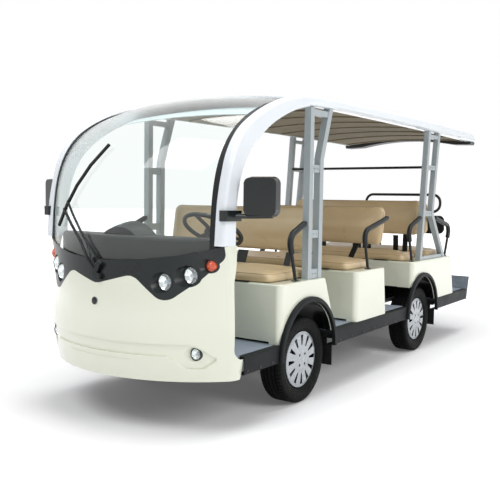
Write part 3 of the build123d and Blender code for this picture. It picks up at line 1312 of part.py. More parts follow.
# Corners: name, side, axle position
CORNERS = (
    ("front_left", 1, FRONT_AXLE_Y),
    ("front_right", -1, FRONT_AXLE_Y),
    ("rear_left", 1, REAR_AXLE_Y),
    ("rear_right", -1, REAR_AXLE_Y),
)
for corner, side, axle_y in CORNERS:
    spot = Location((side * WHEEL_X, axle_y, TYRE_RADIUS), (0, 0, 90 - 90 * side))
    with BuildPart() as placed_wheel:
        add(wheel.part.moved(spot))
    save(placed_wheel, f"wheel_{corner}")
    with BuildPart() as placed_tyre:
        add(tyre.part.moved(spot))
    save(placed_tyre, f"tyre_{corner}")

# Steering knuckles: a fork round the king pin, a web, brake backing plate, spindle and steering arm
LUG_LOW = AXLE_EYE_HALF_HEIGHT + 2.0
LUG_HEIGHT = KNUCKLE_HALF_HEIGHT - LUG_LOW
WEB_X = 582.0
WEB_END_X = 590.0
BACKING_WALL = 3.0
ARM_TOP = TYRE_RADIUS - KNUCKLE_HALF_HEIGHT
with BuildPart() as knuckle_left:
    for way in (-1, 1):
        with Locations((KINGPIN_X, FRONT_AXLE_Y, TYRE_RADIUS + way * (LUG_LOW + LUG_HEIGHT / 2))):
            Cylinder(KNUCKLE_BOSS, LUG_HEIGHT)
            Box(WEB_END_X - KINGPIN_X, 2 * KNUCKLE_BOSS, LUG_HEIGHT, align=(Align.MIN, Align.CENTER, Align.CENTER))
    with Locations((WEB_X, FRONT_AXLE_Y, TYRE_RADIUS)):
        Box(
            WEB_END_X - WEB_X,
            2 * KNUCKLE_BOSS,
            2 * KNUCKLE_HALF_HEIGHT,
            align=(Align.MIN, Align.CENTER, Align.CENTER),
        )
    with Locations(Location((WEB_END_X, FRONT_AXLE_Y, TYRE_RADIUS), (0, 90, 0))):
        Cylinder(BACKING_RADIUS, BACKING_WALL, align=(Align.CENTER, Align.CENTER, Align.MIN))
        Cylinder(SPINDLE_RADIUS, SPINDLE_LENGTH, align=(Align.CENTER, Align.CENTER, Align.MIN))
    with Locations((KINGPIN_X, FRONT_AXLE_Y, ARM_TOP)):
        Box(STEER_ARM_WIDTH, STEER_ARM, STEER_ARM_THICKNESS, align=(Align.CENTER, Align.MIN, Align.MAX))
    with Locations((KINGPIN_X, FRONT_AXLE_Y + STEER_ARM, ARM_TOP)):
        Cylinder(STEER_ARM_WIDTH / 2, STEER_ARM_THICKNESS, align=(Align.CENTER, Align.CENTER, Align.MAX))
        Cylinder(LINK_PIN_RADIUS + PIN_CLEARANCE, 60, mode=Mode.SUBTRACT)
    with Locations((KINGPIN_X, FRONT_AXLE_Y, TYRE_RADIUS)):
        Cylinder(KINGPIN_RADIUS, 2 * KNUCKLE_HALF_HEIGHT, mode=Mode.SUBTRACT)
save(knuckle_left, "knuckle_left")
with BuildPart() as knuckle_right:
    add(mirror(knuckle_left.part, about=Plane.YZ, mode=Mode.PRIVATE))
save(knuckle_right, "knuckle_right")

# Front axle beam with an eye and a king pin at each end
with BuildPart() as front_axle:
    with Locations((0, FRONT_AXLE_Y, TYRE_RADIUS)):
        Box(2 * (KINGPIN_X - AXLE_EYE_RADIUS / 2), BEAM_DEPTH, BEAM_HEIGHT)
    for side in (-1, 1):
        with Locations((side * KINGPIN_X, FRONT_AXLE_Y, TYRE_RADIUS)):
            Cylinder(AXLE_EYE_RADIUS, 2 * AXLE_EYE_HALF_HEIGHT)
            Cylinder(KINGPIN_RADIUS - SEAT_GAP, 2 * (KNUCKLE_HALF_HEIGHT - 2))
save(front_axle, "front_axle")

# Tie rod: joins both steering arms and the pitman arm below them
ROD_EYE_TOP = ARM_TOP - STEER_ARM_THICKNESS - 2.0
ROD_CENTRE_Z = ROD_EYE_TOP - TIE_ROD_RADIUS
ROD_LINE_Y = FRONT_AXLE_Y + STEER_ARM
PITMAN_END_Y = PITMAN_Y + STEER_ARM
with BuildPart() as tie_rod:
    with Locations(Location((0, ROD_LINE_Y, ROD_CENTRE_Z), (0, 90, 0))):
        Cylinder(TIE_ROD_RADIUS, 2 * (KINGPIN_X - 40))
    for pin_x, pin_y in ((KINGPIN_X, ROD_LINE_Y), (-KINGPIN_X, ROD_LINE_Y), (PITMAN_X, PITMAN_END_Y)):
        with Locations((pin_x, pin_y, ROD_EYE_TOP)):
            Cylinder(STEER_ARM_WIDTH / 2, ROD_EYE_THICKNESS, align=(Align.CENTER, Align.CENTER, Align.MAX))
            Cylinder(LINK_PIN_RADIUS, ARM_TOP - ROD_EYE_TOP + 3, align=(Align.CENTER, Align.CENTER, Align.MIN))
    for side in (-1, 1):
        with Locations((side * (KINGPIN_X - 25), ROD_LINE_Y, ROD_EYE_TOP)):
            Box(50, STEER_ARM_WIDTH * 0.7, ROD_EYE_THICKNESS, align=(Align.CENTER, Align.CENTER, Align.MAX))
    with Locations((PITMAN_X, ROD_LINE_Y, ROD_EYE_TOP)):
        Box(STEER_ARM_WIDTH, PITMAN_END_Y - ROD_LINE_Y, ROD_EYE_THICKNESS, align=(Align.CENTER, Align.MIN, Align.MAX))
save(tie_rod, "tie_rod")

# Pitman arm: hangs from the steering gear and pushes the tie rod
with BuildPart() as pitman_arm:
    with Locations((PITMAN_X, PITMAN_Y, ARM_TOP)):
        Cylinder(STEER_ARM_WIDTH / 2, STEER_ARM_THICKNESS, align=(Align.CENTER, Align.CENTER, Align.MAX))
        Box(STEER_ARM_WIDTH, STEER_ARM, STEER_ARM_THICKNESS, align=(Align.CENTER, Align.MIN, Align.MAX))
        Cylinder(
            STEER_SHAFT_RADIUS, STEER_BOX_LOW - SEAT_GAP - ARM_TOP, align=(Align.CENTER, Align.CENTER, Align.MIN)
        )
    with Locations((PITMAN_X, PITMAN_END_Y, ARM_TOP)):
        Cylinder(STEER_ARM_WIDTH / 2, STEER_ARM_THICKNESS, align=(Align.CENTER, Align.CENTER, Align.MAX))
        Cylinder(LINK_PIN_RADIUS + PIN_CLEARANCE, 60, mode=Mode.SUBTRACT)
save(pitman_arm, "pitman_arm")

# Rear axle: tube, drive housing, motor, and the same backing plates and spindles as in front
AXLE_TUBE_RADIUS = 27.0
DRIVE_X = 40.0
DRIVE_RADIUS = 92.0
DRIVE_WIDTH = 120.0
MOTOR_RADIUS = 84.0
MOTOR_LENGTH = 270.0
SPRING_SEAT_Z = TYRE_RADIUS + BEAM_HEIGHT / 2
with BuildPart() as rear_axle:
    with Locations(Location((DRIVE_X, REAR_AXLE_Y, TYRE_RADIUS), (0, 90, 0))):
        Cylinder(DRIVE_RADIUS, DRIVE_WIDTH)
    fillet(rear_axle.edges().filter_by(GeomType.CIRCLE), radius=22)
    with Locations(Location((0, REAR_AXLE_Y, TYRE_RADIUS), (0, 90, 0))):
        Cylinder(AXLE_TUBE_RADIUS, 2 * WEB_END_X)
    for side in (-1, 1):
        with Locations(Location((side * WEB_END_X, REAR_AXLE_Y, TYRE_RADIUS), (0, 90 * side, 0))):
            Cylinder(BACKING_RADIUS, BACKING_WALL, align=(Align.CENTER, Align.CENTER, Align.MIN))
            Cylinder(SPINDLE_RADIUS, SPINDLE_LENGTH, align=(Align.CENTER, Align.CENTER, Align.MIN))
        with Locations((side * SPRING_X, REAR_AXLE_Y, SPRING_SEAT_Z)):
            Box(SPRING_WIDTH + 14, 80, 40, align=(Align.CENTER, Align.CENTER, Align.MIN), mode=Mode.SUBTRACT)
    with Locations(Location((DRIVE_X, REAR_AXLE_Y - DRIVE_RADIUS / 2, TYRE_RADIUS), (90, 0, 0))):
        Cylinder(MOTOR_RADIUS, MOTOR_LENGTH, align=(Align.CENTER, Align.CENTER, Align.MIN))
save(rear_axle, "rear_axle")

# Leaf springs: three leaves each, an eye at both ends, clamped to the axle by plates and bolts
CLAMP_BOLT = 5.0
CLAMP_X = SPRING_WIDTH / 2 + CLAMP_BOLT + 2
CLAMP_Y = AXLE_TUBE_RADIUS + CLAMP_BOLT + 2
CLAMP_PLATE = 6.0
main_leaf_z = SPRING_SEAT_Z + SEAT_GAP + (len(LEAF_REACHES) - 1) * (LEAF - LEAF_LAP)
# Axle: position, half height of what the clamp goes round
SPRUNG_AXLES = ((FRONT_AXLE_Y, BEAM_HEIGHT / 2), (REAR_AXLE_Y, AXLE_TUBE_RADIUS))
with BuildPart() as leaf_springs:
    for axle_y, half_height in SPRUNG_AXLES:
        for x in (-SPRING_X, SPRING_X):
            with BuildSketch(Plane(origin=(x - SPRING_WIDTH / 2, axle_y, 0), x_dir=(0, 1, 0), z_dir=(1, 0, 0))):
                for order, reach in enumerate(LEAF_REACHES):
                    low = main_leaf_z - order * (LEAF - LEAF_LAP)
                    rise = SPRING_CAMBER * (reach / SPRING_REACH) ** 2
                    with BuildLine():
                        ThreePointArc((-reach, low + rise), (0, low), (reach, low + rise))
                        Line((reach, low + rise), (reach, low + rise + LEAF))
                        ThreePointArc((reach, low + rise + LEAF), (0, low + LEAF), (-reach, low + rise + LEAF))
                        Line((-reach, low + rise + LEAF), (-reach, low + rise))
                    make_face()
                with Locations(
                    (-SPRING_REACH, main_leaf_z + SPRING_CAMBER + LEAF / 2),
                    (SPRING_REACH, main_leaf_z + SPRING_CAMBER + LEAF / 2),
                ):
                    Circle(SPRING_EYE)
            extrude(amount=SPRING_WIDTH)
            with Locations((x, axle_y, main_leaf_z + LEAF)):
                Box(
                    2 * (CLAMP_X + CLAMP_BOLT),
                    2 * (CLAMP_Y + CLAMP_BOLT),
                    CLAMP_PLATE,
                    align=(Align.CENTER, Align.CENTER, Align.MIN),
                )
            with Locations((x, axle_y, TYRE_RADIUS - half_height - SEAT_GAP)):
                Box(
                    2 * (CLAMP_X + CLAMP_BOLT),
                    2 * (CLAMP_Y + CLAMP_BOLT),
                    CLAMP_PLATE,
                    align=(Align.CENTER, Align.CENTER, Align.MAX),
                )
                with GridLocations(2 * CLAMP_X, 2 * CLAMP_Y, 2, 2):
                    Cylinder(
                        CLAMP_BOLT,
                        main_leaf_z + LEAF + CLAMP_PLATE - TYRE_RADIUS + half_height + SEAT_GAP,
                        align=(Align.CENTER, Align.CENTER, Align.MIN),
                    )
save(leaf_springs, "leaf_springs")

# Battery pack: one heavy block on the floor inside the middle seat box
BATTERY = (1200.0, 390.0, 270.0)
with BuildPart() as battery_pack:
    with Locations((0, (BOX_ROWS[1][0] + BOX_ROWS[1][1]) / 2, FLOOR_Z)):
        Box(*BATTERY, align=(Align.CENTER, Align.CENTER, Align.MIN))
save(battery_pack, "battery_pack")
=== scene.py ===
import math

import bmesh
import bpy
import numpy as np
from mathutils import Matrix, Vector
from mathutils.bvhtree import BVHTree


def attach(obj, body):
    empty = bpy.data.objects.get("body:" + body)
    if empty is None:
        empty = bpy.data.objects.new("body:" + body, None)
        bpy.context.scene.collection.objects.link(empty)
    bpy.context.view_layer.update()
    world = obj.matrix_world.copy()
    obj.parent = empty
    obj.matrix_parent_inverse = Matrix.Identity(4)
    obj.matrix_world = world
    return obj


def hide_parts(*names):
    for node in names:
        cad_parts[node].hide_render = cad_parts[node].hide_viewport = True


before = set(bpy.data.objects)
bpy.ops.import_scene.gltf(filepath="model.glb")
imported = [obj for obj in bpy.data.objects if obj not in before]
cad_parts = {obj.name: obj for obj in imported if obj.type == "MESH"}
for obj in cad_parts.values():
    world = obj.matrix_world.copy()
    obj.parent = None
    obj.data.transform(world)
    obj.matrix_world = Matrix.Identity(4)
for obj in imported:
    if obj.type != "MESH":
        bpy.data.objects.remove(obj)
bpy.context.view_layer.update()

# Camera: stands off the driver's corner of the nose at chest height and looks back along the bus.
# Its place, aim and lens were solved from the photograph's own vanishing lines.
CAMERA_SPOT = Vector((2.911, -4.965, 1.299))
CAMERA_FORWARD = Vector((-0.567, 0.820, -0.072))
CAMERA_RIGHT = Vector((0.822, 0.569, 0.015))
LENS_MM, SENSOR_MM = 49.75, 36
camera = bpy.data.objects.new("camera", bpy.data.cameras.new("camera"))
camera.data.lens = LENS_MM
camera.data.sensor_width = SENSOR_MM
back = -CAMERA_FORWARD.normalized()
across = (CAMERA_RIGHT - back * CAMERA_RIGHT.dot(back)).normalized()
turned = Matrix((across, back.cross(across), back)).transposed().to_4x4()
camera.matrix_world = Matrix.Translation(CAMERA_SPOT) @ turned
bpy.context.scene.collection.objects.link(camera)
bpy.context.scene.camera = camera
bpy.context.scene.view_settings.view_transform = "Standard"


# Studio: a pale floor that keeps the soft shadow, a white surround, and three large soft lamps.
# The floor's plain glow is for the camera, mirrors and glass alone, so it lights nothing.
def srgb(code):
    """Linear colour of an sRGB hex value."""
    parts = [int(code[k : k + 2], 16) / 255 for k in (1, 3, 5)]
    linear = [p / 12.92 if p <= 0.04045 else ((p + 0.055) / 1.055) ** 2.4 for p in parts]
    return (*linear, 1.0)


def add(tree, kind, inputs=None, **settings):
    """Adds one node with its settings; each input is a value or the socket it is linked to."""
    made = tree.nodes.new(kind)
    for name, value in settings.items():
        setattr(made, name, value)
    for name, value in (inputs or {}).items():
        if isinstance(value, bpy.types.NodeSocket):
            tree.links.new(value, made.inputs[name])
        else:
            made.inputs[name].default_value = value
    return made


def seen_directly(tree):
    """1 for rays from the camera and for those that mirrors and glass send on, else 0."""
    path = add(tree, "ShaderNodeLightPath").outputs
    seen = path["Is Camera Ray"]
    for kind in ("Is Glossy Ray", "Is Transmission Ray"):
        seen = add(tree, "ShaderNodeMath", {0: seen, 1: path[kind]}, operation="MAXIMUM").outputs[0]
    return seen


FLOOR_HALF = 60.0
FLOOR_GLOW = 0.08
GLOW_FROM, GLOW_TO = 3.2, 8.0  # metres out, over which the glow rises to plain white
floor_paint = bpy.data.materials.new("studio_floor_paint")
floor_paint.use_nodes = True
tree = floor_paint.node_tree
tree.nodes.clear()
matte = add(tree, "ShaderNodeBsdfDiffuse", {"Color": srgb("#F6F6F6")})
place = add(tree, "ShaderNodeTexCoord").outputs["Object"]
away = add(tree, "ShaderNodeVectorMath", {0: place}, operation="LENGTH").outputs["Value"]
rise = {"Value": away, "From Min": GLOW_FROM, "From Max": GLOW_TO, "To Min": FLOOR_GLOW, "To Max": 1.0}
strength = add(tree, "ShaderNodeMapRange", rise).outputs[0]
glow = add(tree, "ShaderNodeEmission", {"Color": (1, 1, 1, 1), "Strength": strength})
dark = add(tree, "ShaderNodeEmission", {"Strength": 0.0})
choice = {0: seen_directly(tree), 1: dark.outputs[0], 2: glow.outputs[0]}
shown = add(tree, "ShaderNodeMixShader", choice)
both = add(tree, "ShaderNodeAddShader", {0: matte.outputs[0], 1: shown.outputs[0]})
add(tree, "ShaderNodeOutputMaterial", {"Surface": both.outputs[0]})
mesh = bpy.data.meshes.new("studio_floor")
corners = [(x * FLOOR_HALF, y * FLOOR_HALF, 0) for x, y in ((-1, -1), (1, -1), (1, 1), (-1, 1))]
mesh.from_pydata(corners, [], [(0, 1, 2, 3)])
mesh.materials.append(floor_paint)
floor = bpy.data.objects.new("studio_floor", mesh)
bpy.context.scene.collection.objects.link(floor)

world = bpy.data.worlds.new("studio_surround")
bpy.context.scene.world = world
world.use_nodes = True
tree = world.node_tree
tree.nodes.clear()
soft = add(tree, "ShaderNodeBackground", {"Color": srgb("#F4F6F8"), "Strength": 0.42})
white = add(tree, "ShaderNodeBackground", {"Color": (1, 1, 1, 1), "Strength": 1.0})
choice = {0: seen_directly(tree), 1: soft.outputs[0], 2: white.outputs[0]}
surround = add(tree, "ShaderNodeMixShader", choice)
add(tree, "ShaderNodeOutputWorld", {"Surface": surround.outputs[0]})

# Lamps: place, aim, edge of the square lamp in metres, watts
LAMPS = (
    (Vector((-1.5, -6.5, 8.5)), Vector((0, -0.8, 0.8)), 5.0, 330.0),
    (Vector((7.5, -1.5, 5.5)), Vector((0, 0.2, 0.9)), 4.0, 260.0),
    (Vector((0.5, 1.0, 9.0)), Vector((0, 0.3, 0.0)), 6.0, 600.0),
)
for number, (spot, aim, edge, watts) in enumerate(LAMPS):
    name = f"studio_lamp_{number}"
    lamp = bpy.data.objects.new(name, bpy.data.lights.new(name, "AREA"))
    lamp.data.size = edge
    lamp.data.energy = watts
    lamp.location = spot
    lamp.rotation_mode = "QUATERNION"
    lamp.rotation_quaternion = (aim - spot).to_track_quat("-Z", "Y")
    bpy.context.scene.collection.objects.link(lamp)


# Body mouldings: nose and seat boxes are glass-fibre laid up in polished moulds. The ivory gelcoat
# is part of the laminate, glossy and even, with the faint waviness of hand-laid panels.
def surface(
    name, light, dark, patch_mm, roughness,
    bump_mm=0.0, grain_mm=1.0, spread=0.05, scuff=None, **sockets
):
    """A finish on Object coordinates: two close tones in soft patches, uneven roughness, a grain."""
    made = bpy.data.materials.new(name)
    made.use_nodes = True
    tree = made.node_tree
    tree.nodes.clear()
    place = add(tree, "ShaderNodeTexCoord").outputs["Object"]
    noise = {"Vector": place, "Scale": 1000.0 / patch_mm, "Detail": 3.0, "Roughness": 0.55}
    patches = add(tree, "ShaderNodeTexNoise", noise).outputs["Fac"]
    tones = {0: patches, 6: srgb(dark), 7: srgb(light)}
    tone = add(tree, "ShaderNodeMix", tones, data_type="RGBA").outputs[2]
    if scuff:
        scuff_colour, scuff_mm, amount = scuff
        noise = {"Vector": place, "Scale": 1000.0 / scuff_mm, "Detail": 6.0, "Roughness": 0.7}
        marks = add(tree, "ShaderNodeTexNoise", noise).outputs["Fac"]
        fade = {"Value": marks, "From Min": 0.52, "From Max": 0.72, "To Max": amount}
        worn = add(tree, "ShaderNodeMapRange", fade).outputs[0]
        tones = {0: worn, 6: tone, 7: srgb(scuff_colour)}
        tone = add(tree, "ShaderNodeMix", tones, data_type="RGBA").outputs[2]
    fade = {"Value": patches, "From Min": 0.3, "From Max": 0.7}
    fade |= {"To Min": roughness - spread, "To Max": roughness + spread}
    rough = add(tree, "ShaderNodeMapRange", fade).outputs[0]
    looks = {"Base Color": tone, "Roughness": rough, **sockets}
    shader = add(tree, "ShaderNodeBsdfPrincipled", looks)
    if bump_mm:
        noise = {"Vector": place, "Scale": 1000.0 / grain_mm, "Detail": 2.0}
        grain = add(tree, "ShaderNodeTexNoise", noise).outputs["Fac"]
        raised = {"Height": grain, "Distance": bump_mm / 1000, "Strength": 1.0}
        relief = add(tree, "ShaderNodeBump", raised)
        tree.links.new(relief.outputs[0], shader.inputs["Normal"])
    add(tree, "ShaderNodeOutputMaterial", {"Surface": shader.outputs[0]})
    return made


def finish_node(material, *nodes):
    """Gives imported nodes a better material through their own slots."""
    for node in nodes:
        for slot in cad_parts[node].material_slots:
            slot.material = material


def place_and_shader(tree):
    """Object coordinates and main shader of a finish."""
    kinds = {node.type: node for node in tree.nodes}
    return kinds["TEX_COORD"].outputs["Object"], kinds["BSDF_PRINCIPLED"]


def two_tone(material, colour, test):
    """Gives a finish a second colour wherever test, built from the Object coordinates, is 1."""
    tree = material.node_tree
    place, shader = place_and_shader(tree)
    tone = shader.inputs["Base Color"].links[0].from_socket
    apart = add(tree, "ShaderNodeSeparateXYZ", {0: place}).outputs
    tones = {0: test(tree, apart), 6: tone, 7: srgb(colour)}
    mixed = add(tree, "ShaderNodeMix", tones, data_type="RGBA")
    tree.links.new(mixed.outputs[2], shader.inputs["Base Color"])
    return material


def outboard(tree, apart):
    """Distance from the middle plane of the bus."""
    return add(tree, "ShaderNodeMath", {0: apart["X"]}, operation="ABSOLUTE").outputs[0]


# The inside of the wheel wells is coloured near black
AXLES_Y = (-1.155, 0.830)
WELL_CENTRE_Z, WELL_REACH, WELL_OUTER_X = 0.335, 0.3298, 0.7345


def in_wheel_well(tree, apart):
    """1 on the inside of the wheel wells, whose sides run straight down below their centre."""
    above = {0: apart["Z"], 1: WELL_CENTRE_Z}
    above = add(tree, "ShaderNodeMath", above, operation="MAXIMUM").outputs[0]
    flat = add(tree, "ShaderNodeCombineXYZ", {"Y": apart["Y"], "Z": above}).outputs[0]
    gaps = []
    for y in AXLES_Y:
        ends = {0: flat, 1: (0, y, WELL_CENTRE_Z)}
        gaps.append(add(tree, "ShaderNodeVectorMath", ends, operation="DISTANCE").outputs["Value"])
    gap = add(tree, "ShaderNodeMath", dict(enumerate(gaps)), operation="MINIMUM").outputs[0]
    tests = []
    for value, limit in ((gap, WELL_REACH), (outboard(tree, apart), WELL_OUTER_X)):
        under = add(tree, "ShaderNodeMath", {0: value, 1: limit}, operation="LESS_THAN")
        tests.append(under.outputs[0])
    return add(tree, "ShaderNodeMath", dict(enumerate(tests)), operation="MULTIPLY").outputs[0]


# Gelcoat ivory: waviness 140 mm across and 0.05 mm high, under a clear hard gloss
GELCOAT = ("#E9EBDB", "#E2E5D3", 420, 0.22, 0.05, 140, 0.03)
GELCOAT_GLOSS = {"Coat Weight": 0.5, "Coat Roughness": 0.06}
ivory_gelcoat = surface("ivory_gelcoat", *GELCOAT, **GELCOAT_GLOSS)
box_gelcoat = surface("ivory_gelcoat_seat_boxes", *GELCOAT, **GELCOAT_GLOSS)
finish_node(ivory_gelcoat, "front_fascia")
finish_node(two_tone(box_gelcoat, "#0C0E0F", in_wheel_well), "seat_boxes")

# Lamp panel: a charcoal moulding of satin ABS under the glass, with a well for each lamp.
# Its spark-eroded mould leaves a fine even grain that keeps it from mirroring.
charcoal_abs = surface(
    "charcoal_satin_abs", "#1E2324", "#191E1F", 160, 0.3, 0.03, 2.5, 0.05,
    **{"Specular IOR Level": 0.35},
)
finish_node(charcoal_abs, "lamp_panel")


# Headlamps and fog lamps: round sealed units, each a faceted vacuum-plated reflector in a black
# housing, with a capped bulb in its middle under a domed clear polycarbonate lens.
def lathe(profile, centre, axis, sides, jitter=0.0):
    """Vertices and faces of a profile of (distance from the axis, distance along it) spun round."""
    axis = Vector(axis).normalized()
    side = axis.orthogonal().normalized()
    up = axis.cross(side)
    points, rows = [], []
    for row, (radius, along) in enumerate(profile):
        if radius < 1e-7:
            rows.append([len(points)] * sides)
            points.append(Vector(centre) + axis * along)
            continue
        rows.append(list(range(len(points), len(points) + sides)))
        for k in range(sides):
            turn = 2 * math.pi * k / sides
            lift = jitter * (1 if (k + row) % 2 else -1)
            spoke = (side * math.cos(turn) + up * math.sin(turn)) * radius
            points.append(Vector(centre) + axis * (along + lift) + spoke)
    faces = []
    for low, high in zip(rows, rows[1:]):
        for k in range(sides):
            ring = [low[k], low[(k + 1) % sides], high[(k + 1) % sides], high[k]]
            ring = [v for n, v in enumerate(ring) if v not in ring[:n]]
            if len(ring) > 2:
                faces.append(tuple(ring))
    return points, faces


def face_outwards(mesh):
    """Turns every face of a mesh to look outwards."""
    shell = bmesh.new()
    shell.from_mesh(mesh)
    bmesh.ops.recalc_face_normals(shell, faces=shell.faces)
    shell.to_mesh(mesh)
    shell.free()


def shade_smooth(mesh, crease_degrees=None):
    """Smooth shading, broken at edges sharper than an angle where one is given."""
    if crease_degrees:
        mesh.set_sharp_from_angle(angle=math.radians(crease_degrees))
    mesh.polygons.foreach_set("use_smooth", [True] * len(mesh.polygons))


def piece(name, parts, body, smooth=True):
    """One object from parts of (points, faces, material), outward normals, riding on a body."""
    made = bpy.data.meshes.new(name)
    points, faces, marks, finishes = [], [], [], []
    for part_points, part_faces, finish in parts:
        if finish not in finishes:
            finishes.append(finish)
        start = len(points)
        points += [tuple(p) for p in part_points]
        faces += [tuple(start + v for v in face) for face in part_faces]
        marks += [finishes.index(finish)] * len(part_faces)
    made.from_pydata(points, [], faces)
    for finish in finishes:
        made.materials.append(finish)
    made.polygons.foreach_set("material_index", marks)
    face_outwards(made)
    if smooth:
        shade_smooth(made, 32)
    obj = bpy.data.objects.new(name, made)
    bpy.context.scene.collection.objects.link(obj)
    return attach(obj, body)


def glass(name, colour, roughness, head_on):
    """Thin clear sheet: light goes straight through, and the face mirrors more at low angles."""
    made = bpy.data.materials.new(name)
    made.use_nodes = True
    tree = made.node_tree
    tree.nodes.clear()
    through = add(tree, "ShaderNodeBsdfTransparent", {"Color": srgb(colour)})
    gloss = add(tree, "ShaderNodeBsdfAnisotropic", {"Color": (1, 1, 1, 1), "Roughness": roughness})
    facing = add(tree, "ShaderNodeLayerWeight", {"Blend": 0.5}).outputs["Facing"]
    low = add(tree, "ShaderNodeMath", {0: facing, 1: 5.0}, operation="POWER").outputs[0]
    mirrored = {0: low, 1: 1.0 - head_on, 2: head_on}
    share = add(tree, "ShaderNodeMath", mirrored, operation="MULTIPLY_ADD").outputs[0]
    choice = {0: share, 1: through.outputs[0], 2: gloss.outputs[0]}
    choice = add(tree, "ShaderNodeMixShader", choice)
    add(tree, "ShaderNodeOutputMaterial", {"Surface": choice.outputs[0]})
    return made


# Each lamp: x, z, radius, facets of its reflector
HEADLAMPS = ((0.415, 0.848, 0.050, 22), (0.538, 0.886, 0.050, 22))
FOG_LAMP = (0.564, 0.456, 0.036, 16)
FORWARDS = (0, -1, 0)
RIM_FROM, RIM_TO = 0.97, 1.05  # shares of a lamp's radius between which its packed rim lies
LAMP_BACK, LAMP_RIM, LAMP_GAP, LAMP_LIP = -0.0235, 0.003, 0.0004, 0.0045
LAMP_SIDES, LENS_SIDES, BULB_SIDES = 56, 48, 24
HOUSING_EDGE, HOUSING_CHAMFER = 0.0026, 0.0006
BOWL_EDGE, BOWL_START, BOWL_DEPTH, BOWL_FACET = 0.0055, 0.0006, 0.0176, 0.0011
BOWL = ((0.80, 0.0035), (0.64, 0.0080), (0.48, 0.0118), (0.32, 0.0148), (0.16, 0.0170))
BULB = ((0.20, -0.0172), (0.21, -0.006), (0.15, -0.0015))
LENS_EDGE, LENS_FOOT, LENS_RISE, LENS_WALL = 0.0052, 0.0004, 0.0078, 0.0016
LENS_STEPS, LENS_DRAW = 9, 0.955
plated_reflector = surface(
    "vacuum_plated_reflector", "#F2F4F5", "#D5DADC", 9, 0.12, Metallic=1.0
)
housing_black = surface("lamp_housing_black_pbt", "#2A2D2F", "#202325", 12, 0.4, 0.02, 1.0)
bulb_cap = surface("bulb_cap_grey_glass", "#C9D2D8", "#9FABB3", 6, 0.18, **{"Coat Weight": 0.6})
clear_lens = glass("clear_polycarbonate_lens", "#FDFEFE", 0.03, 0.05)


def lamp_centre(node, x, z, radius):
    """Middle of a packed lamp's flat rim."""
    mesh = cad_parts[node].data
    points = np.zeros(len(mesh.vertices) * 3, np.float32)
    mesh.vertices.foreach_get("co", points)
    points = points.reshape(-1, 3)
    near = points[np.hypot(points[:, 0] - x, points[:, 2] - z) < radius * RIM_TO]
    rim = near[np.hypot(near[:, 0] - x, near[:, 2] - z) > radius * RIM_FROM]
    return (x, float(rim[:, 1].min()) + LAMP_RIM, z)


def lamp_parts(centre, radius, facets):
    """Housing, faceted reflector, bulb cap and domed lens of one lamp."""
    rim, lip = radius - LAMP_GAP, radius - BOWL_EDGE
    shell = [(0, LAMP_BACK), (rim, LAMP_BACK), (rim, HOUSING_EDGE)]
    shell += [(rim - HOUSING_CHAMFER, LAMP_RIM), (radius - LAMP_LIP, LAMP_RIM), (lip, BOWL_START)]
    bowl = [(lip, BOWL_START)] + [(radius * share, -deep) for share, deep in BOWL]
    bowl += [(0, -BOWL_DEPTH)]
    bulb = [(0, -BOWL_DEPTH)] + [(radius * share, high) for share, high in BULB] + [(0, 0.0)]
    dome = []
    for turn in np.linspace(0, math.pi / 2, LENS_STEPS):
        high = LENS_FOOT + LENS_RISE * math.cos(turn)
        dome.append((math.sin(turn) * (radius - LENS_EDGE), high))
    inner = [(r * LENS_DRAW, high - LENS_WALL) for r, high in reversed(dome)]
    return [
        (*lathe(shell, centre, FORWARDS, LAMP_SIDES), housing_black),
        (*lathe(bowl, centre, FORWARDS, facets, BOWL_FACET), plated_reflector),
        (*lathe(bulb, centre, FORWARDS, BULB_SIDES), bulb_cap),
        (*lathe(dome + inner, centre, FORWARDS, LENS_SIDES), clear_lens),
    ]


headlamp_parts = []
for x, z, radius, facets in HEADLAMPS + (FOG_LAMP,):
    for side in (-1, 1):
        centre = lamp_centre("front_lamps", side * x, z, radius)
        headlamp_parts += lamp_parts(centre, radius, facets)
headlamps = piece("headlamps", headlamp_parts, "chassis")
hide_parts("front_lamps")

# Indicators: amber acrylic domes with moulded rings that spread the light of one bulb.
# The plastic is coloured right through, so it glows a little at its thin edge.
INDICATOR = (0.634, 0.942, 0.029)  # x, z, radius
INDICATOR_RINGS, INDICATOR_RISE, RING_STEP = 19, 0.0155, 0.0006
amber_lens = surface(
    "amber_acrylic_lens", "#EE5A14", "#DB470C", 30, 0.14, 0.15, 5, 0.04,
    **{"Coat Weight": 0.8, "Transmission Weight": 0.15},
)
x, z, radius = INDICATOR
dome_radius = radius - LAMP_LIP
shell = [(0, INDICATOR_RISE)]
for k in range(1, INDICATOR_RINGS):
    share = k / INDICATOR_RINGS
    high = INDICATOR_RISE * math.sqrt(1 - share**2) - (RING_STEP if k % 2 else 0)
    shell.append((share * dome_radius, high))
shell += [(dome_radius, LAMP_RIM), (radius - LAMP_GAP, LAMP_RIM)]
shell += [(radius - LAMP_GAP, LAMP_BACK), (0, LAMP_BACK)]
indicator_parts = []
for side in (-1, 1):
    centre = lamp_centre("front_indicators", side * x, z, radius)
    indicator_parts.append((*lathe(shell, centre, FORWARDS, LAMP_SIDES), amber_lens))
indicators = piece("indicators", indicator_parts, "chassis")
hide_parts("front_indicators")

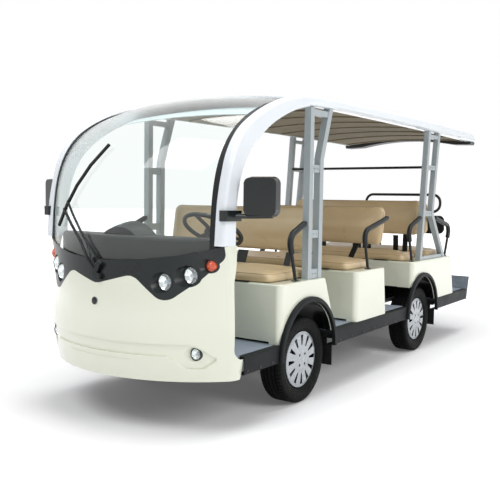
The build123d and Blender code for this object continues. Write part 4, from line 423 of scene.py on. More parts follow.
# Nose badge: a bare round boss, black glossy plastic in a thin dulled metal ring.
# It is pressed onto the moulding and carries no mark.
BADGE_RADIUS, BADGE_Z, BADGE_SIDES = 0.0225, 0.722, 48
black_gloss_plastic = surface(
    "black_gloss_plastic", "#0C0E0E", "#080A0A", 20, 0.2, 0.02, 6,
    **{"Specular IOR Level": 0.35},
)
dulled_ring = surface("dulled_zinc_ring", "#8E9496", "#73797B", 8, 0.3, Metallic=1.0)
seen_from, looking = Vector((0.0, -4, BADGE_Z)), Vector((0, 1, 0))
_, spot, normal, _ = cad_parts["front_fascia"].ray_cast(seen_from, looking)
if normal.y > 0:
    normal = -normal
# Profiles: distance from the badge's axis, height over the moulding
crown = [(0, 0.0030), (0.010, 0.0028), (0.017, 0.0020), (0.0195, 0.0012)]
ring = [(0.0195, 0.0012), (0.0200, 0.0030), (0.0213, 0.0036)]
ring += [(BADGE_RADIUS, 0.0028), (BADGE_RADIUS, -0.0030), (0, -0.0030)]
badge_parts = [
    (*lathe(crown, spot, normal, BADGE_SIDES), black_gloss_plastic),
    (*lathe(ring, spot, normal, BADGE_SIDES), dulled_ring),
]
badge = piece("nose_badge", badge_parts, "chassis")

# Windscreen: one sheet of 6 mm laminated glass, bent both ways, with a faint green cast.
# It is bonded into black rubber seals along both posts.
laminated_glass = glass("laminated_safety_glass", "#FBFEFD", 0.01, 0.035)
finish_node(laminated_glass, "windscreen")
seal_rubber = surface(
    "seal_rubber_epdm", "#141617", "#0F1112", 25, 0.55, 0.04, 1.5, 0.08,
    **{"Specular IOR Level": 0.3},
)
finish_node(seal_rubber, "windscreen_seals")

# Side rails and roof: the posts and roof edges are one pair of glass-fibre mouldings in cool white,
# and the roof skin is laid up in the same gelcoat.
rail_white = surface(
    "rail_white_gelcoat", "#EDF2F6", "#E2E8EE", 380, 0.2, 0.04, 120, 0.04,
    **{"Coat Weight": 0.6, "Coat Roughness": 0.05},
)
finish_node(rail_white, "side_rails", "roof_panel")

# Ceiling: a pressed lining of beige-brown felted fibreboard with broad ribs, matt and a little
# hairy, and a dark lip at the tail. Ahead of the first rib the lining is coloured pale grey-blue.
LINER_PALE_Y = -1.17


def ahead_of_ribs(tree, apart):
    """1 on the pale front of the lining."""
    ends = {0: apart["Y"], 1: LINER_PALE_Y}
    return add(tree, "ShaderNodeMath", ends, operation="LESS_THAN").outputs[0]


liner_felt = surface(
    "ceiling_felted_board", "#8A7F68", "#746A55", 60, 0.85, 0.25, 3.0, 0.05,
    **{"Sheen Weight": 0.1, "Specular IOR Level": 0.2},
)
finish_node(two_tone(liner_felt, "#D3DCE0", ahead_of_ribs), "roof_liner")
lip_plastic = surface("tail_lip_black_abs", "#1C1F21", "#17191A", 80, 0.45, 0.04, 2.0)
finish_node(lip_plastic, "roof_rear_lip")

# Pillars: welded square steel tube with tie plates, powder-coated light grey. Hex bolts with
# washers hold their plates to the tubes.
pillar_grey = surface(
    "pillar_grey_powder_coat", "#A9B1B4", "#9CA5A9", 120, 0.38, 0.06, 2.2, 0.06,
    **{"Coat Weight": 0.3, "Coat Roughness": 0.2},
)
finish_node(pillar_grey, "roof_pillars")


def tree_input(tree, name, kind, value=None):
    """One named input of a node tree."""
    made = tree.interface.new_socket(name=name, in_out="INPUT", socket_type=kind)
    if value is not None:
        made.default_value = value


def bolt_tree():
    """Node tree that sets a bolt head and washer on each point, square to its direction."""
    tree = bpy.data.node_groups.new("bolts_with_washers", "GeometryNodeTree")
    tree_input(tree, "Points", "NodeSocketGeometry")
    tree_input(tree, "Head Radius", "NodeSocketFloat", 0.006)
    tree_input(tree, "Head Height", "NodeSocketFloat", 0.004)
    tree_input(tree, "Washer Radius", "NodeSocketFloat", 0.009)
    tree_input(tree, "Washer Height", "NodeSocketFloat", 0.0015)
    tree_input(tree, "Head Sides", "NodeSocketInt", 6)
    tree_input(tree, "Finish", "NodeSocketMaterial")
    tree.interface.new_socket(name="Geometry", in_out="OUTPUT", socket_type="NodeSocketGeometry")
    given = add(tree, "NodeGroupInput").outputs
    discs = {}
    for disc, count in (("Washer", 20), ("Head", given["Head Sides"])):
        sizes = {"Vertices": count, "Radius": given[f"{disc} Radius"], "Depth": given[f"{disc} Height"]}
        made = add(tree, "GeometryNodeMeshCylinder", sizes, fill_type="NGON")
        discs[disc] = made.outputs["Mesh"]
    half = add(tree, "ShaderNodeMath", {0: given["Head Height"], 1: 0.5}, operation="MULTIPLY")
    rise = {0: half.outputs[0], 1: given["Washer Height"]}
    rise = add(tree, "ShaderNodeMath", rise, operation="ADD")
    lift = add(tree, "ShaderNodeCombineXYZ", {"Z": rise.outputs[0]})
    raised = {"Geometry": discs["Head"], "Translation": lift.outputs[0]}
    raised = add(tree, "GeometryNodeTransform", raised)
    bolt = add(tree, "GeometryNodeJoinGeometry")
    tree.links.new(discs["Washer"], bolt.inputs[0])
    tree.links.new(raised.outputs[0], bolt.inputs[0])
    way = add(tree, "GeometryNodeInputNamedAttribute", {"Name": "way"}, data_type="FLOAT_VECTOR")
    turned = add(tree, "FunctionNodeAlignRotationToVector", {"Vector": way.outputs[0]}, axis="Z")
    copies = {"Points": given["Points"], "Instance": bolt.outputs[0], "Rotation": turned.outputs[0]}
    placed = add(tree, "GeometryNodeInstanceOnPoints", copies)
    real = add(tree, "GeometryNodeRealizeInstances", {0: placed.outputs[0]})
    paint = {"Geometry": real.outputs[0], "Material": given["Finish"]}
    painted = add(tree, "GeometryNodeSetMaterial", paint)
    add(tree, "NodeGroupOutput", {0: painted.outputs[0]})
    return tree


def run_tree(name, tree, mesh, body, **values):
    """Runs a node tree on a mesh with the named inputs and keeps the result as a plain piece."""
    obj = bpy.data.objects.new(name, mesh)
    bpy.context.scene.collection.objects.link(obj)
    modifier = obj.modifiers.new("make", "NODES")
    modifier.node_group = tree
    for item in tree.interface.items_tree:
        key = item.name.replace(" ", "_")
        if item.in_out == "INPUT" and key in values:
            modifier[item.identifier] = values[key]
    ready = obj.evaluated_get(bpy.context.evaluated_depsgraph_get())
    made = bpy.data.meshes.new_from_object(ready)
    obj.modifiers.clear()
    obj.data = made
    made.name = name
    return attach(obj, body)


bolts = bolt_tree()


def fasteners(name, rows, body, head, washer, finish, **values):
    """Bolts or screws at rows of (spot, direction); head and washer are (radius, height)."""
    mesh = bpy.data.meshes.new(name)
    mesh.from_pydata([tuple(spot) for spot, _ in rows], [], [])
    facing = mesh.attributes.new("way", "FLOAT_VECTOR", "POINT")
    facing.data.foreach_set("vector", [c for _, way in rows for c in way])
    values |= {"Head_Radius": head[0], "Head_Height": head[1], "Finish": finish}
    values |= {"Washer_Radius": washer[0], "Washer_Height": washer[1]}
    return run_tree(name, bolts, mesh, body, **values)


zinc_bolt = surface("zinc_plated_bolt", "#B4B9BA", "#969C9E", 8, 0.32, Metallic=1.0)
# Tie plates that carry bolts: low y, high y, z of their middle
PLATE_ROWS = (
    (-1.111, -0.977, 1.087),
    (-1.111, -0.977, 1.507),
    (-1.111, -0.977, 0.8275),
    (0.895, 1.100, 1.203),
    (0.935, 1.155, 1.610),
)
PLATE_FACE_X = 0.7102
rows = []
for side in (-1, 1):
    for low, high, z in PLATE_ROWS:
        for share in (0.36, 0.64):
            spot = (side * PLATE_FACE_X, low + (high - low) * share, z)
            rows.append((spot, (side, 0, 0)))
pillar_bolts = fasteners(
    "pillar_bolts", rows, "chassis", (0.0055, 0.0022), (0.008, 0.0008), zinc_bolt
)


# Floor: blue-grey rubber mats with moulded ribs along the bus on a coated deck, and charcoal skirts
# with their arch flares moulded in one from grained polypropylene, held by black screws.
def ribbed(name, light, dark, pitch_mm, height_mm, roughness, direction):
    """Rubber or plastic with round ribs at a pitch, stepped along X or Y, and a speckled face."""
    made = surface(name, light, dark, 5, roughness, scuff=("#A7AFB8", 30, 0.35))
    tree = made.node_tree
    place, shader = place_and_shader(tree)
    # 3.1831 is a Wave texture's bands per unit at a scale of 1
    waves = {"Vector": place, "Scale": 1000.0 / pitch_mm / 3.1831}
    bands = add(
        tree, "ShaderNodeTexWave", waves, wave_type="BANDS", bands_direction=direction
    )
    raised = {"Height": bands.outputs["Fac"], "Distance": height_mm / 1000, "Strength": 1.0}
    relief = add(tree, "ShaderNodeBump", raised)
    tree.links.new(relief.outputs[0], shader.inputs["Normal"])
    return made


STEP_EDGE_X = 0.7445
SKIRT_FACE_X, SKIRT_SCREW_Z = 0.7458, 0.345
# Runs of screws along each skirt: first y, end y, pitch
SCREW_RUNS = ((-1.84, -1.55, 0.13), (-0.72, 0.42, 0.19), (1.26, 2.02, 0.19))


def on_step_edge(tree, apart):
    """1 on the dark side edges of the rear step."""
    ends = {0: outboard(tree, apart), 1: STEP_EDGE_X}
    return add(tree, "ShaderNodeMath", ends, operation="GREATER_THAN").outputs[0]


mat_rubber = ribbed("floor_mat_ribbed_rubber", "#99A3B1", "#8893A1", 14, 1.2, 0.6, "X")
finish_node(mat_rubber, "floor_mat")
deck_coat = surface("deck_black_coated_ply", "#1C1E20", "#17191A", 90, 0.6, 0.15, 4)
finish_node(deck_coat, "floor_deck")
skirt_plastic = surface(
    "skirt_charcoal_polypropylene", "#191D1F", "#131618", 200, 0.5, 0.10, 2.4, 0.06,
    ("#24282B", 160, 0.4), **{"Specular IOR Level": 0.15},
)
finish_node(skirt_plastic, "side_skirts")
step_coat = ribbed("rear_step_ribbed_plate", "#77828C", "#68737E", 22, 1.0, 0.5, "Y")
finish_node(two_tone(step_coat, "#1C2124", on_step_edge), "rear_step")
flap_rubber = surface(
    "mud_flap_rubber", "#121415", "#0D0F10", 60, 0.7, 0.2, 3, 0.08,
    ("#2A2825", 50, 0.5), **{"Specular IOR Level": 0.25},
)
finish_node(flap_rubber, "mud_flaps")
rows = []
for side in (-1, 1):
    for y in np.concatenate([np.arange(*run) for run in SCREW_RUNS]):
        rows.append(((side * SKIRT_FACE_X, float(y), SKIRT_SCREW_Z), (side, 0, 0)))
skirt_screws = fasteners(
    "skirt_screws", rows, "chassis", (0.006, 0.0025), (0.009, 0.001), housing_black, Head_Sides=16
)

# Seats: foam on plywood under tan vinyl, four bench cushions and four backs. Each cover is a top
# panel and a boxing strip sewn together with a welt, and the foam crowns it between the corners.
vinyl_tan = surface(
    "tan_vinyl_upholstery", "#DEC6A1", "#D1B98F", 170, 0.32, 0.10, 1.6, 0.06,
    **{"Coat Weight": 0.35, "Coat Roughness": 0.22},
)
welt_vinyl = surface("tan_vinyl_welt", "#BBA27C", "#AE956F", 60, 0.42, 0.08, 1.6)

CORNER_STEPS, RING_POINTS, TOP_STEPS = 12, 220, 7
# Side of a pad from its foot up to the crown: how far in, share of the height
PAD_SIDE = (
    (0.010, 0.0), (0.003, 0.10), (0.0, 0.30), (0.0005, 0.52), (0.003, 0.68),
    (0.009, 0.80), (0.018, 0.88), (0.032, 0.935), (0.055, 0.965), (0.090, 0.985),
)
SLACK_HEIGHT = 0.0007
VOXEL = 0.012
CLOTH_FRAMES = 20
FOAM_PRESSURE = 4.0


def rounded_outline(half_u, half_v, corner, count):
    """Evenly spaced points round a rectangle with rounded corners."""
    points = []
    in_u, in_v = half_u - corner, half_v - corner
    quarters = ((in_u, in_v), (-in_u, in_v), (-in_u, -in_v), (in_u, -in_v))
    for quarter, (centre_u, centre_v) in enumerate(quarters):
        for k in range(CORNER_STEPS + 1):
            turn = math.radians(90 * quarter + 90 * k / CORNER_STEPS)
            u, v = centre_u + corner * math.cos(turn), centre_v + corner * math.sin(turn)
            points.append((u, v))
    loop = np.array(points + points[:1])
    run = np.concatenate([[0], np.cumsum(np.hypot(*np.diff(loop, axis=0).T))])
    at = np.linspace(0, run[-1], count, endpoint=False)
    return np.stack([np.interp(at, run, loop[:, 0]), np.interp(at, run, loop[:, 1])], 1)


def pad_form(half_u, half_v, corner, height, crown, seed):
    """Closed pad: flat below, sides that pull in, a rolled edge and a crowned top, on axes u, v, w."""
    rings = []
    for inset, share in PAD_SIDE:
        round_off = max(corner - inset * 0.6, 0.008)
        ring = rounded_outline(half_u - inset, half_v - inset, round_off, RING_POINTS)
        rings.append(np.column_stack([ring, np.full(RING_POINTS, share * (height - crown))]))
    rim = rings[-1]
    for k in range(1, TOP_STEPS):
        share = 1 - k / TOP_STEPS
        ring = rim.copy()
        drawn_in = (1 - share) * min(half_v * 0.86, half_u)
        ring[:, 0] = np.sign(rim[:, 0]) * np.maximum(np.abs(rim[:, 0]) - drawn_in, 0)
        ring[:, 1] = rim[:, 1] * share
        ring[:, 2] += crown * (1 - share**2.2)
        rings.append(ring)
    points = np.concatenate(rings)
    phase = np.random.default_rng(seed).uniform(0, 6.28, 6)
    slack = 0
    for k in range(3):
        waves_u = np.sin(points[:, 0] * (9 + 5 * k) + phase[k])
        slack = slack + waves_u * np.cos(points[:, 1] * (11 + 4 * k) + phase[k + 3])
    points[:, 2] += SLACK_HEIGHT * slack * np.clip(points[:, 2] / height, 0, 1)
    faces = []
    for low in range(0, (len(rings) - 1) * RING_POINTS, RING_POINTS):
        high = low + RING_POINTS
        for k in range(RING_POINTS):
            n = (k + 1) % RING_POINTS
            faces.append((low + k, low + n, high + n, high + k))
    faces.append(tuple(range(RING_POINTS))[::-1])
    faces.append(tuple(range(len(points) - RING_POINTS, len(points))))
    return points, faces


def apply_modifiers(obj):
    """Turns an object's modifiers into plain mesh."""
    for modifier in list(obj.modifiers):
        bpy.ops.object.modifier_apply(modifier=modifier.name)


def swollen(obj, rest, place, cap_mm):
    """Where foam pressure puts the cover after a short cloth run, held within its cap."""
    cloth = obj.modifiers.new("foam", "CLOTH")
    cloth.settings.use_pressure = True
    cloth.settings.uniform_pressure_force = FOAM_PRESSURE
    cloth.settings.effector_weights.gravity = 0.0
    cloth.settings.quality = 4
    cloth.point_cache.frame_start = 1
    cloth.point_cache.frame_end = CLOTH_FRAMES
    for step in range(1, CLOTH_FRAMES + 1):
        bpy.context.scene.frame_set(step)
    ready = obj.evaluated_get(bpy.context.evaluated_depsgraph_get())
    move = np.array([v.co for v in ready.data.vertices]) - rest
    obj.modifiers.clear()
    bpy.context.scene.frame_set(1)
    length = np.linalg.norm(move, axis=1, keepdims=True)
    move *= np.minimum(1.0, cap_mm / 1000 / np.maximum(length, 1e-9))
    local = np.column_stack([rest + move, np.ones(len(rest))]) @ np.array(place.inverted()).T
    local[:, 2] = np.maximum(local[:, 2], 0.0)
    return (local @ np.array(place).T)[:, :3]


def upholstered(name, form, place, cap_mm):
    """Pad from its sewn shape, swollen by the foam and smoothed."""
    points, faces = form
    mesh = bpy.data.meshes.new(name)
    mesh.from_pydata([tuple(place @ Vector(p)) for p in points], [], faces)
    shell = bmesh.new()
    shell.from_mesh(mesh)
    bmesh.ops.remove_doubles(shell, verts=shell.verts, dist=0.0004)
    bmesh.ops.triangulate(shell, faces=[f for f in shell.faces if len(f.verts) > 4])
    bmesh.ops.recalc_face_normals(shell, faces=shell.faces)
    shell.to_mesh(mesh)
    shell.free()
    obj = bpy.data.objects.new(name, mesh)
    bpy.context.scene.collection.objects.link(obj)
    bpy.context.view_layer.objects.active = obj
    even = obj.modifiers.new("even", "REMESH")
    even.mode = "VOXEL"
    even.voxel_size = VOXEL
    apply_modifiers(obj)
    rest = np.array([v.co for v in obj.data.vertices])
    rest = swollen(obj, rest, place, cap_mm)
    obj.data.vertices.foreach_set("co", rest.astype(np.float32).ravel())
    obj.data.materials.append(vinyl_tan)
    smooth = obj.modifiers.new("smooth", "SMOOTH")
    smooth.iterations = 3
    smooth.factor = 0.5
    finer = obj.modifiers.new("finer", "SUBSURF")
    finer.levels = finer.render_levels = 1
    apply_modifiers(obj)
    shade_smooth(obj.data)
    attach(obj, "chassis")
    return obj


SEAM_REACH = 0.03  # the seam is looked for from this far outside the pad
SEAM_POINTS, SEAM_SIDES = 260, 8


def welt(pad, place, half_u, half_v, corner, level, radius):
    """Piped seam round a pad at one level, laid on the surface that the foam gave it."""
    tree = BVHTree.FromObject(pad, bpy.context.evaluated_depsgraph_get())
    reach = SEAM_REACH
    outline = rounded_outline(half_u + reach, half_v + reach, corner + reach, SEAM_POINTS)
    centre_line = []
    for u, v in outline:
        from_spot = place @ Vector((u, v, level))
        inner_u = math.copysign(max(abs(u) - half_v * 0.9, 0), u)
        aim = place @ Vector((inner_u, 0, level))
        found, _, _, _ = tree.ray_cast(from_spot, (aim - from_spot).normalized())
        centre_line.append(found + (from_spot - found).normalized() * radius * 0.1)
    up = (place.to_3x3() @ Vector((0, 0, 1))).normalized()
    points, faces = [], []
    for k, spot in enumerate(centre_line):
        along = (centre_line[(k + 1) % SEAM_POINTS] - centre_line[k - 1]).normalized()
        out = along.cross(up).normalized()
        low, high = k * SEAM_SIDES, (k + 1) % SEAM_POINTS * SEAM_SIDES
        for s in range(SEAM_SIDES):
            turn = 2 * math.pi * s / SEAM_SIDES
            points.append(spot + (out * math.cos(turn) + up * math.sin(turn)) * radius)
            t = (s + 1) % SEAM_SIDES
            faces.append((low + s, high + s, high + t, low + t))
    return points, faces


# Cushions: front edge and rear edge. Backs: y and z of the face's middle, and the way it looks.
CUSHION_ROWS = ((-1.478, -0.975), (-0.450, -0.024), (0.620, 0.925), (1.205, 1.543))
BACK_ROWS = ((-0.900, 1.110, -1), (0.139, 1.116, -1), (0.943, 1.170, -1), (1.185, 1.170, 1))
CUSHION_HALF, CUSHION_FOOT, CUSHION_HEIGHT = 0.652, 0.7953, 0.084
CUSHION_CORNER, CUSHION_CROWN, CUSHION_SEAM, CUSHION_CAP_MM = 0.045, 0.016, 0.050, 7
BACK_HALF, BACK_HALF_HEIGHT, BACK_DEPTH, BACK_LEAN = 0.660, 0.165, 0.062, math.radians(9)
BACK_CORNER, BACK_CROWN, BACK_SEAM, BACK_CAP_MM = 0.055, 0.012, 0.030, 6
SIDE_ROOM, TOP_ROOM = 0.006, 0.004  # left for the foam to swell into
CUSHION_LIFT, BACK_LIFT = 0.0004, 0.001
CUSHION_WELT, BACK_WELT = 0.0024, 0.0022
pads, seams = [], []
for number, (front, rear) in enumerate(CUSHION_ROWS):
    place = Matrix.Translation((0, (front + rear) / 2, CUSHION_FOOT + CUSHION_LIFT))
    half_v = (rear - front) / 2
    form = pad_form(
        CUSHION_HALF - SIDE_ROOM, half_v - SIDE_ROOM, CUSHION_CORNER,
        CUSHION_HEIGHT - TOP_ROOM, CUSHION_CROWN, number,
    )
    pad = upholstered(f"seat_cushion_{number + 1}", form, place, CUSHION_CAP_MM)
    pads.append(pad)
    seam = welt(pad, place, CUSHION_HALF, half_v, CUSHION_CORNER, CUSHION_SEAM, CUSHION_WELT)
    seams.append((*seam, welt_vinyl))
for number, (y, z, way) in enumerate(BACK_ROWS):
    outward = Vector((0, way * math.cos(BACK_LEAN), math.sin(BACK_LEAN)))
    high = Vector((0, -way * math.sin(BACK_LEAN), math.cos(BACK_LEAN)))
    turned = Matrix((high.cross(outward), high, outward)).transposed().to_4x4()
    place = Matrix.Translation(Vector((0, y, z)) - outward * (BACK_DEPTH - BACK_LIFT)) @ turned
    form = pad_form(
        BACK_HALF - SIDE_ROOM, BACK_HALF_HEIGHT - SIDE_ROOM, BACK_CORNER,
        BACK_DEPTH - TOP_ROOM, BACK_CROWN, 10 + number,
    )
    pad = upholstered(f"seat_back_{number + 1}", form, place, BACK_CAP_MM)
    pads.append(pad)
    seam = welt(pad, place, BACK_HALF, BACK_HALF_HEIGHT, BACK_CORNER, BACK_SEAM, BACK_WELT)
    seams.append((*seam, welt_vinyl))
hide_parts("seat_cushions")
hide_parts("seat_backs")
seat_welts = piece("seat_welts", seams, "chassis")

# Back supports, armrests and guard rail: black powder-coated steel. The armrests' upper runs wear
# thick foam sleeves, and small zinc-plated screws hold their foot plates to the boxes.
ARMRESTS_Y = (-1.245, -0.185, 0.690, 1.518)
ARMREST_X, ARMREST_PLATE_Z, SCREW_STEP = 0.690, 0.7998, 0.019
black_coat = surface(
    "black_powder_coat", "#15181A", "#101314", 70, 0.42, 0.08, 1.8, 0.06,
    **{"Specular IOR Level": 0.35},
)
finish_node(black_coat, "back_supports", "armrests", "rear_handrail")
rows = []
for y in ARMRESTS_Y:
    for side in (-1, 1):
        for step in (-SCREW_STEP, SCREW_STEP):
            rows.append(((side * ARMREST_X, y + step, ARMREST_PLATE_Z), (0, 0, 1)))
plate_screws = fasteners(
    "armrest_screws", rows, "chassis", (0.0045, 0.003), (0.0065, 0.0008), zinc_bolt
)


# Cushion catches: short black rubber strips under the front edge of each forward-facing cushion,
# where the lid of the seat box lifts.
def bar(low, high, round_mm=1.5):
    """Box between two corners with its edges rounded over."""
    shell = bmesh.new()
    bmesh.ops.create_cube(shell, size=1.0)
    low, high = Vector(low), Vector(high)
    for v in shell.verts:
        v.co = Vector((low[k] + (v.co[k] + 0.5) * (high[k] - low[k])) for k in range(3))
    edges = shell.edges[:]
    bmesh.ops.bevel(shell, geom=edges, offset=round_mm / 1000, segments=2, affect="EDGES")
    points = [v.co.copy() for v in shell.verts]
    faces = [tuple(v.index for v in f.verts) for f in shell.faces]
    shell.free()
    return points, faces


catch_rubber = surface("catch_strip_rubber", "#22282A", "#191D1F", 30, 0.5, 0.05, 1.5)
CATCH_FRONTS_Y = (-1.497, -0.465, 0.605)
CATCH_RUNS_X = ((0.375, 0.505), (-0.505, -0.375))
CATCH_LIP, CATCH_DEPTH, CATCH_FOOT_Z, CATCH_TOP_Z = 0.001, 0.017, 0.7965, 0.8035
catches = []
for front in CATCH_FRONTS_Y:
    for low, high in CATCH_RUNS_X:
        near = (low, front - CATCH_LIP, CATCH_FOOT_Z)
        far = (high, front + CATCH_DEPTH, CATCH_TOP_Z)
        catches.append((*bar(near, far), catch_rubber))
seat_catches = piece("seat_catches", catches, "chassis")

# Dashboard: a soft-grained black-green polyurethane moulding with a raised pod in its middle,
# grey vent slats let into its top, and the driver's column, pedals and lever in black.
dash_skin = surface(
    "dashboard_grained_skin", "#0D1312", "#090E0D", 90, 0.5, 0.06, 3.0, 0.06,
    **{"Specular IOR Level": 0.3},
)
finish_node(dash_skin, "dashboard")
finish_node(black_coat, "driver_controls")
wheel_grip = surface("steering_wheel_soft_grip", "#161819", "#111314", 40, 0.5, 0.15, 2.0)
finish_node(wheel_grip, "steering_wheel")

SLATS, SLAT_PITCH, SLAT_FIRST_X, SLAT_FRONT_Y = 9, 0.013, -0.185, -1.945
SLAT_STEPS, SLAT_STEP, SLAT_SKEW = 6, 0.014, 0.010
SLAT_SECTION = ((-0.0014, -0.001), (0.0014, -0.001), (0.0014, 0.0035), (-0.0014, 0.0035))
vent_grey = surface("vent_slat_grey_abs", "#8A9698", "#78858A", 20, 0.4)
slats = []
for k in range(SLATS):
    points, faces = [], []
    for n in range(SLAT_STEPS):
        x = SLAT_FIRST_X + k * SLAT_PITCH + SLAT_SKEW * (n / (SLAT_STEPS - 1))
        above = Vector((x, SLAT_FRONT_Y - n * SLAT_STEP, 3))
        _, spot, _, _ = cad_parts["dashboard"].ray_cast(above, Vector((0, 0, -1)))
        points += [spot + Vector((dx, 0, dz)) for dx, dz in SLAT_SECTION]
        if n:
            low, high = (n - 1) * 4, n * 4
            for s in range(4):
                t = (s + 1) % 4
                faces.append((low + s, low + t, high + t, high + s))
    faces += [(0, 1, 2, 3), tuple(range(len(points) - 4, len(points)))]
    slats.append((points, faces, vent_grey))
vents = piece("dash_vent_slats", slats, "chassis", smooth=False)

# Gauges: two round dials in dulled metal cups in front of the driver, with tick marks only,
# and a row of plain black rocker switches beside them.
GAUGES_X, GAUGE_Y, GAUGE_Z = (0.290, 0.410), -1.905, 1.000
GAUGE_CUP = [(0.047, -0.002), (0.047, 0.010), (0.044, 0.012), (0.041, 0.010), (0.040, 0.004)]
GAUGE_PLATE = [(0.040, 0.004), (0, 0.004)]
TICKS, TICK_START, TICK_TURN = 11, 225, 27
TICK_CORNERS = ((0.030, 0.0007), (0.036, 0.0007), (0.036, -0.0007), (0.030, -0.0007))
GAUGE_SIDES, TICK_LIFT = 48, 0.0046
SWITCHES, SWITCH_PITCH, SWITCH_WIDTH = 5, 0.026, 0.022
SWITCH_BACK_Y, SWITCH_FACE_Y, SWITCH_FOOT_Z, SWITCH_TOP_Z = -1.907, -1.897, 0.985, 1.020
dial_face = surface("dial_face_matt_black", "#15181A", "#101314", 10, 0.6)
dial_mark = surface("dial_mark_white", "#E8ECEA", "#DADFDD", 10, 0.5)
gauge_parts = []
for x in GAUGES_X:
    centre = Vector((x, GAUGE_Y, GAUGE_Z))
    gauge_parts.append((*lathe(GAUGE_CUP, centre, (0, 1, 0), GAUGE_SIDES), dulled_ring))
    gauge_parts.append((*lathe(GAUGE_PLATE, centre, (0, 1, 0), GAUGE_SIDES), dial_face))
    at = centre + Vector((0, TICK_LIFT, 0))
    for tick in range(TICKS):
        turn = math.radians(TICK_START - TICK_TURN * tick)
        out = Vector((math.cos(turn), 0, math.sin(turn)))
        aside = Vector((-math.sin(turn), 0, math.cos(turn)))
        mark = [at + out * far + aside * wide for far, wide in TICK_CORNERS]
        gauge_parts.append((mark, [(0, 1, 2, 3)], dial_mark))
for k in range(SWITCHES):
    near = (k * SWITCH_PITCH, SWITCH_BACK_Y, SWITCH_FOOT_Z)
    far = (k * SWITCH_PITCH + SWITCH_WIDTH, SWITCH_FACE_Y, SWITCH_TOP_Z)
    gauge_parts.append((*bar(near, far), housing_black))
gauges = piece("dash_gauges", gauge_parts, "chassis")

# Mirrors: heads of glossy black ABS on bent arms, and a silvered glass plate in the rear of each
# head behind a narrow lip.
MIRROR_YAW = math.radians(15)
MIRROR_X, MIRROR_Y, MIRROR_Z = 0.829, -1.838, 1.318
MIRROR_HALF_WIDTH, MIRROR_HALF_HEIGHT, MIRROR_CORNER = 0.090, 0.099, 0.032
MIRROR_POINTS, MIRROR_RISE, MIRROR_SHRINK = 64, 0.0018, 0.985
mirror_shell = surface(
    "mirror_shell_gloss_abs", "#161C1C", "#101516", 60, 0.2, 0.03, 8, 0.03,
    **{"Specular IOR Level": 0.45},
)
finish_node(mirror_shell, "mirrors")
mirror_silver = surface(
    "silvered_mirror_glass", "#DDE3E4", "#D5DBDC", 60, 0.03, spread=0.01, Metallic=1.0
)
ring = rounded_outline(MIRROR_HALF_WIDTH, MIRROR_HALF_HEIGHT, MIRROR_CORNER, MIRROR_POINTS)
faces = []
for k in range(MIRROR_POINTS):
    n = (k + 1) % MIRROR_POINTS
    faces.append((k, n, MIRROR_POINTS + n, MIRROR_POINTS + k))
faces.append(tuple(range(MIRROR_POINTS, 2 * MIRROR_POINTS)))
mirror_parts = []
for side in (-1, 1):
    across = Vector((math.cos(MIRROR_YAW), side * math.sin(MIRROR_YAW), 0))
    rearward = Vector((-side * math.sin(MIRROR_YAW), math.cos(MIRROR_YAW), 0))
    middle = Vector((side * MIRROR_X, MIRROR_Y, MIRROR_Z))
    points = []
    for lift, shrink in ((0.0, 1.0), (MIRROR_RISE, MIRROR_SHRINK)):
        for a, b in ring * shrink:
            points.append(middle + across * a + Vector((0, 0, 1)) * b + rearward * lift)
    mirror_parts.append((points, faces, mirror_silver))
mirror_glass = piece("mirror_glass", mirror_parts, "chassis")

# Wiper: pressed steel arms, painted black, with a rubber-edged blade.
# The paint is matt so that it throws no glare at the driver.
wiper_black = surface(
    "wiper_matt_black_paint", "#141819", "#0F1213", 40, 0.55, 0.05, 1.5,
    **{"Specular IOR Level": 0.3},
)
finish_node(wiper_black, "wiper")

# Tail lamps: one each side on the back of the step.
# Each is red acrylic with moulded ribs.
red_lens = ribbed("red_acrylic_lens", "#B01E1A", "#9C1512", 9, 0.8, 0.16, "X")
finish_node(red_lens, "tail_lamps")

# Wheels: pressed steel, black, behind a snap-on cover of silver-painted ABS with twelve slots.
# The cover alone is silver, so the finish changes at the depth where the steel rim ends.
COVER_STARTS_X = 0.6836
AXLE_Z = 0.280
NUT_X, NUT_CIRCLE, NUTS = 0.668, 0.046, 4
FRONT_Y, REAR_Y = AXLES_Y
WHEELS = (
    ("left_front_wheel", "front_left", 1, FRONT_Y),
    ("right_front_wheel", "front_right", -1, FRONT_Y),
    ("left_rear_wheel", "rear_left", 1, REAR_Y),
    ("right_rear_wheel", "rear_right", -1, REAR_Y),
)


def on_steel_rim(tree, apart):
    """1 on the black steel behind the cover."""
    ends = {0: outboard(tree, apart), 1: COVER_STARTS_X}
    return add(tree, "ShaderNodeMath", ends, operation="LESS_THAN").outputs[0]


cover_silver = surface(
    "wheel_cover_silver_abs", "#AEB3B8", "#A3A8AD", 50, 0.26, 0.02, 2.0, 0.05,
    **{"Coat Weight": 0.4, "Coat Roughness": 0.08, "Metallic": 0.35},
)
two_tone(cover_silver, "#0E1011", on_steel_rim)
for body, corner, side, y in WHEELS:
    finish_node(cover_silver, f"wheel_{corner}")
    rows = []
    for k in range(NUTS):
        turn = math.radians(45 + 90 * k)
        up, along = NUT_CIRCLE * math.sin(turn), NUT_CIRCLE * math.cos(turn)
        rows.append(((side * NUT_X, y + along, AXLE_Z + up), (side, 0, 0)))
    nuts = fasteners(
        f"wheel_nuts_{corner}", rows, body, (0.0078, 0.004), (0.0085, 0.0005), zinc_bolt
    )


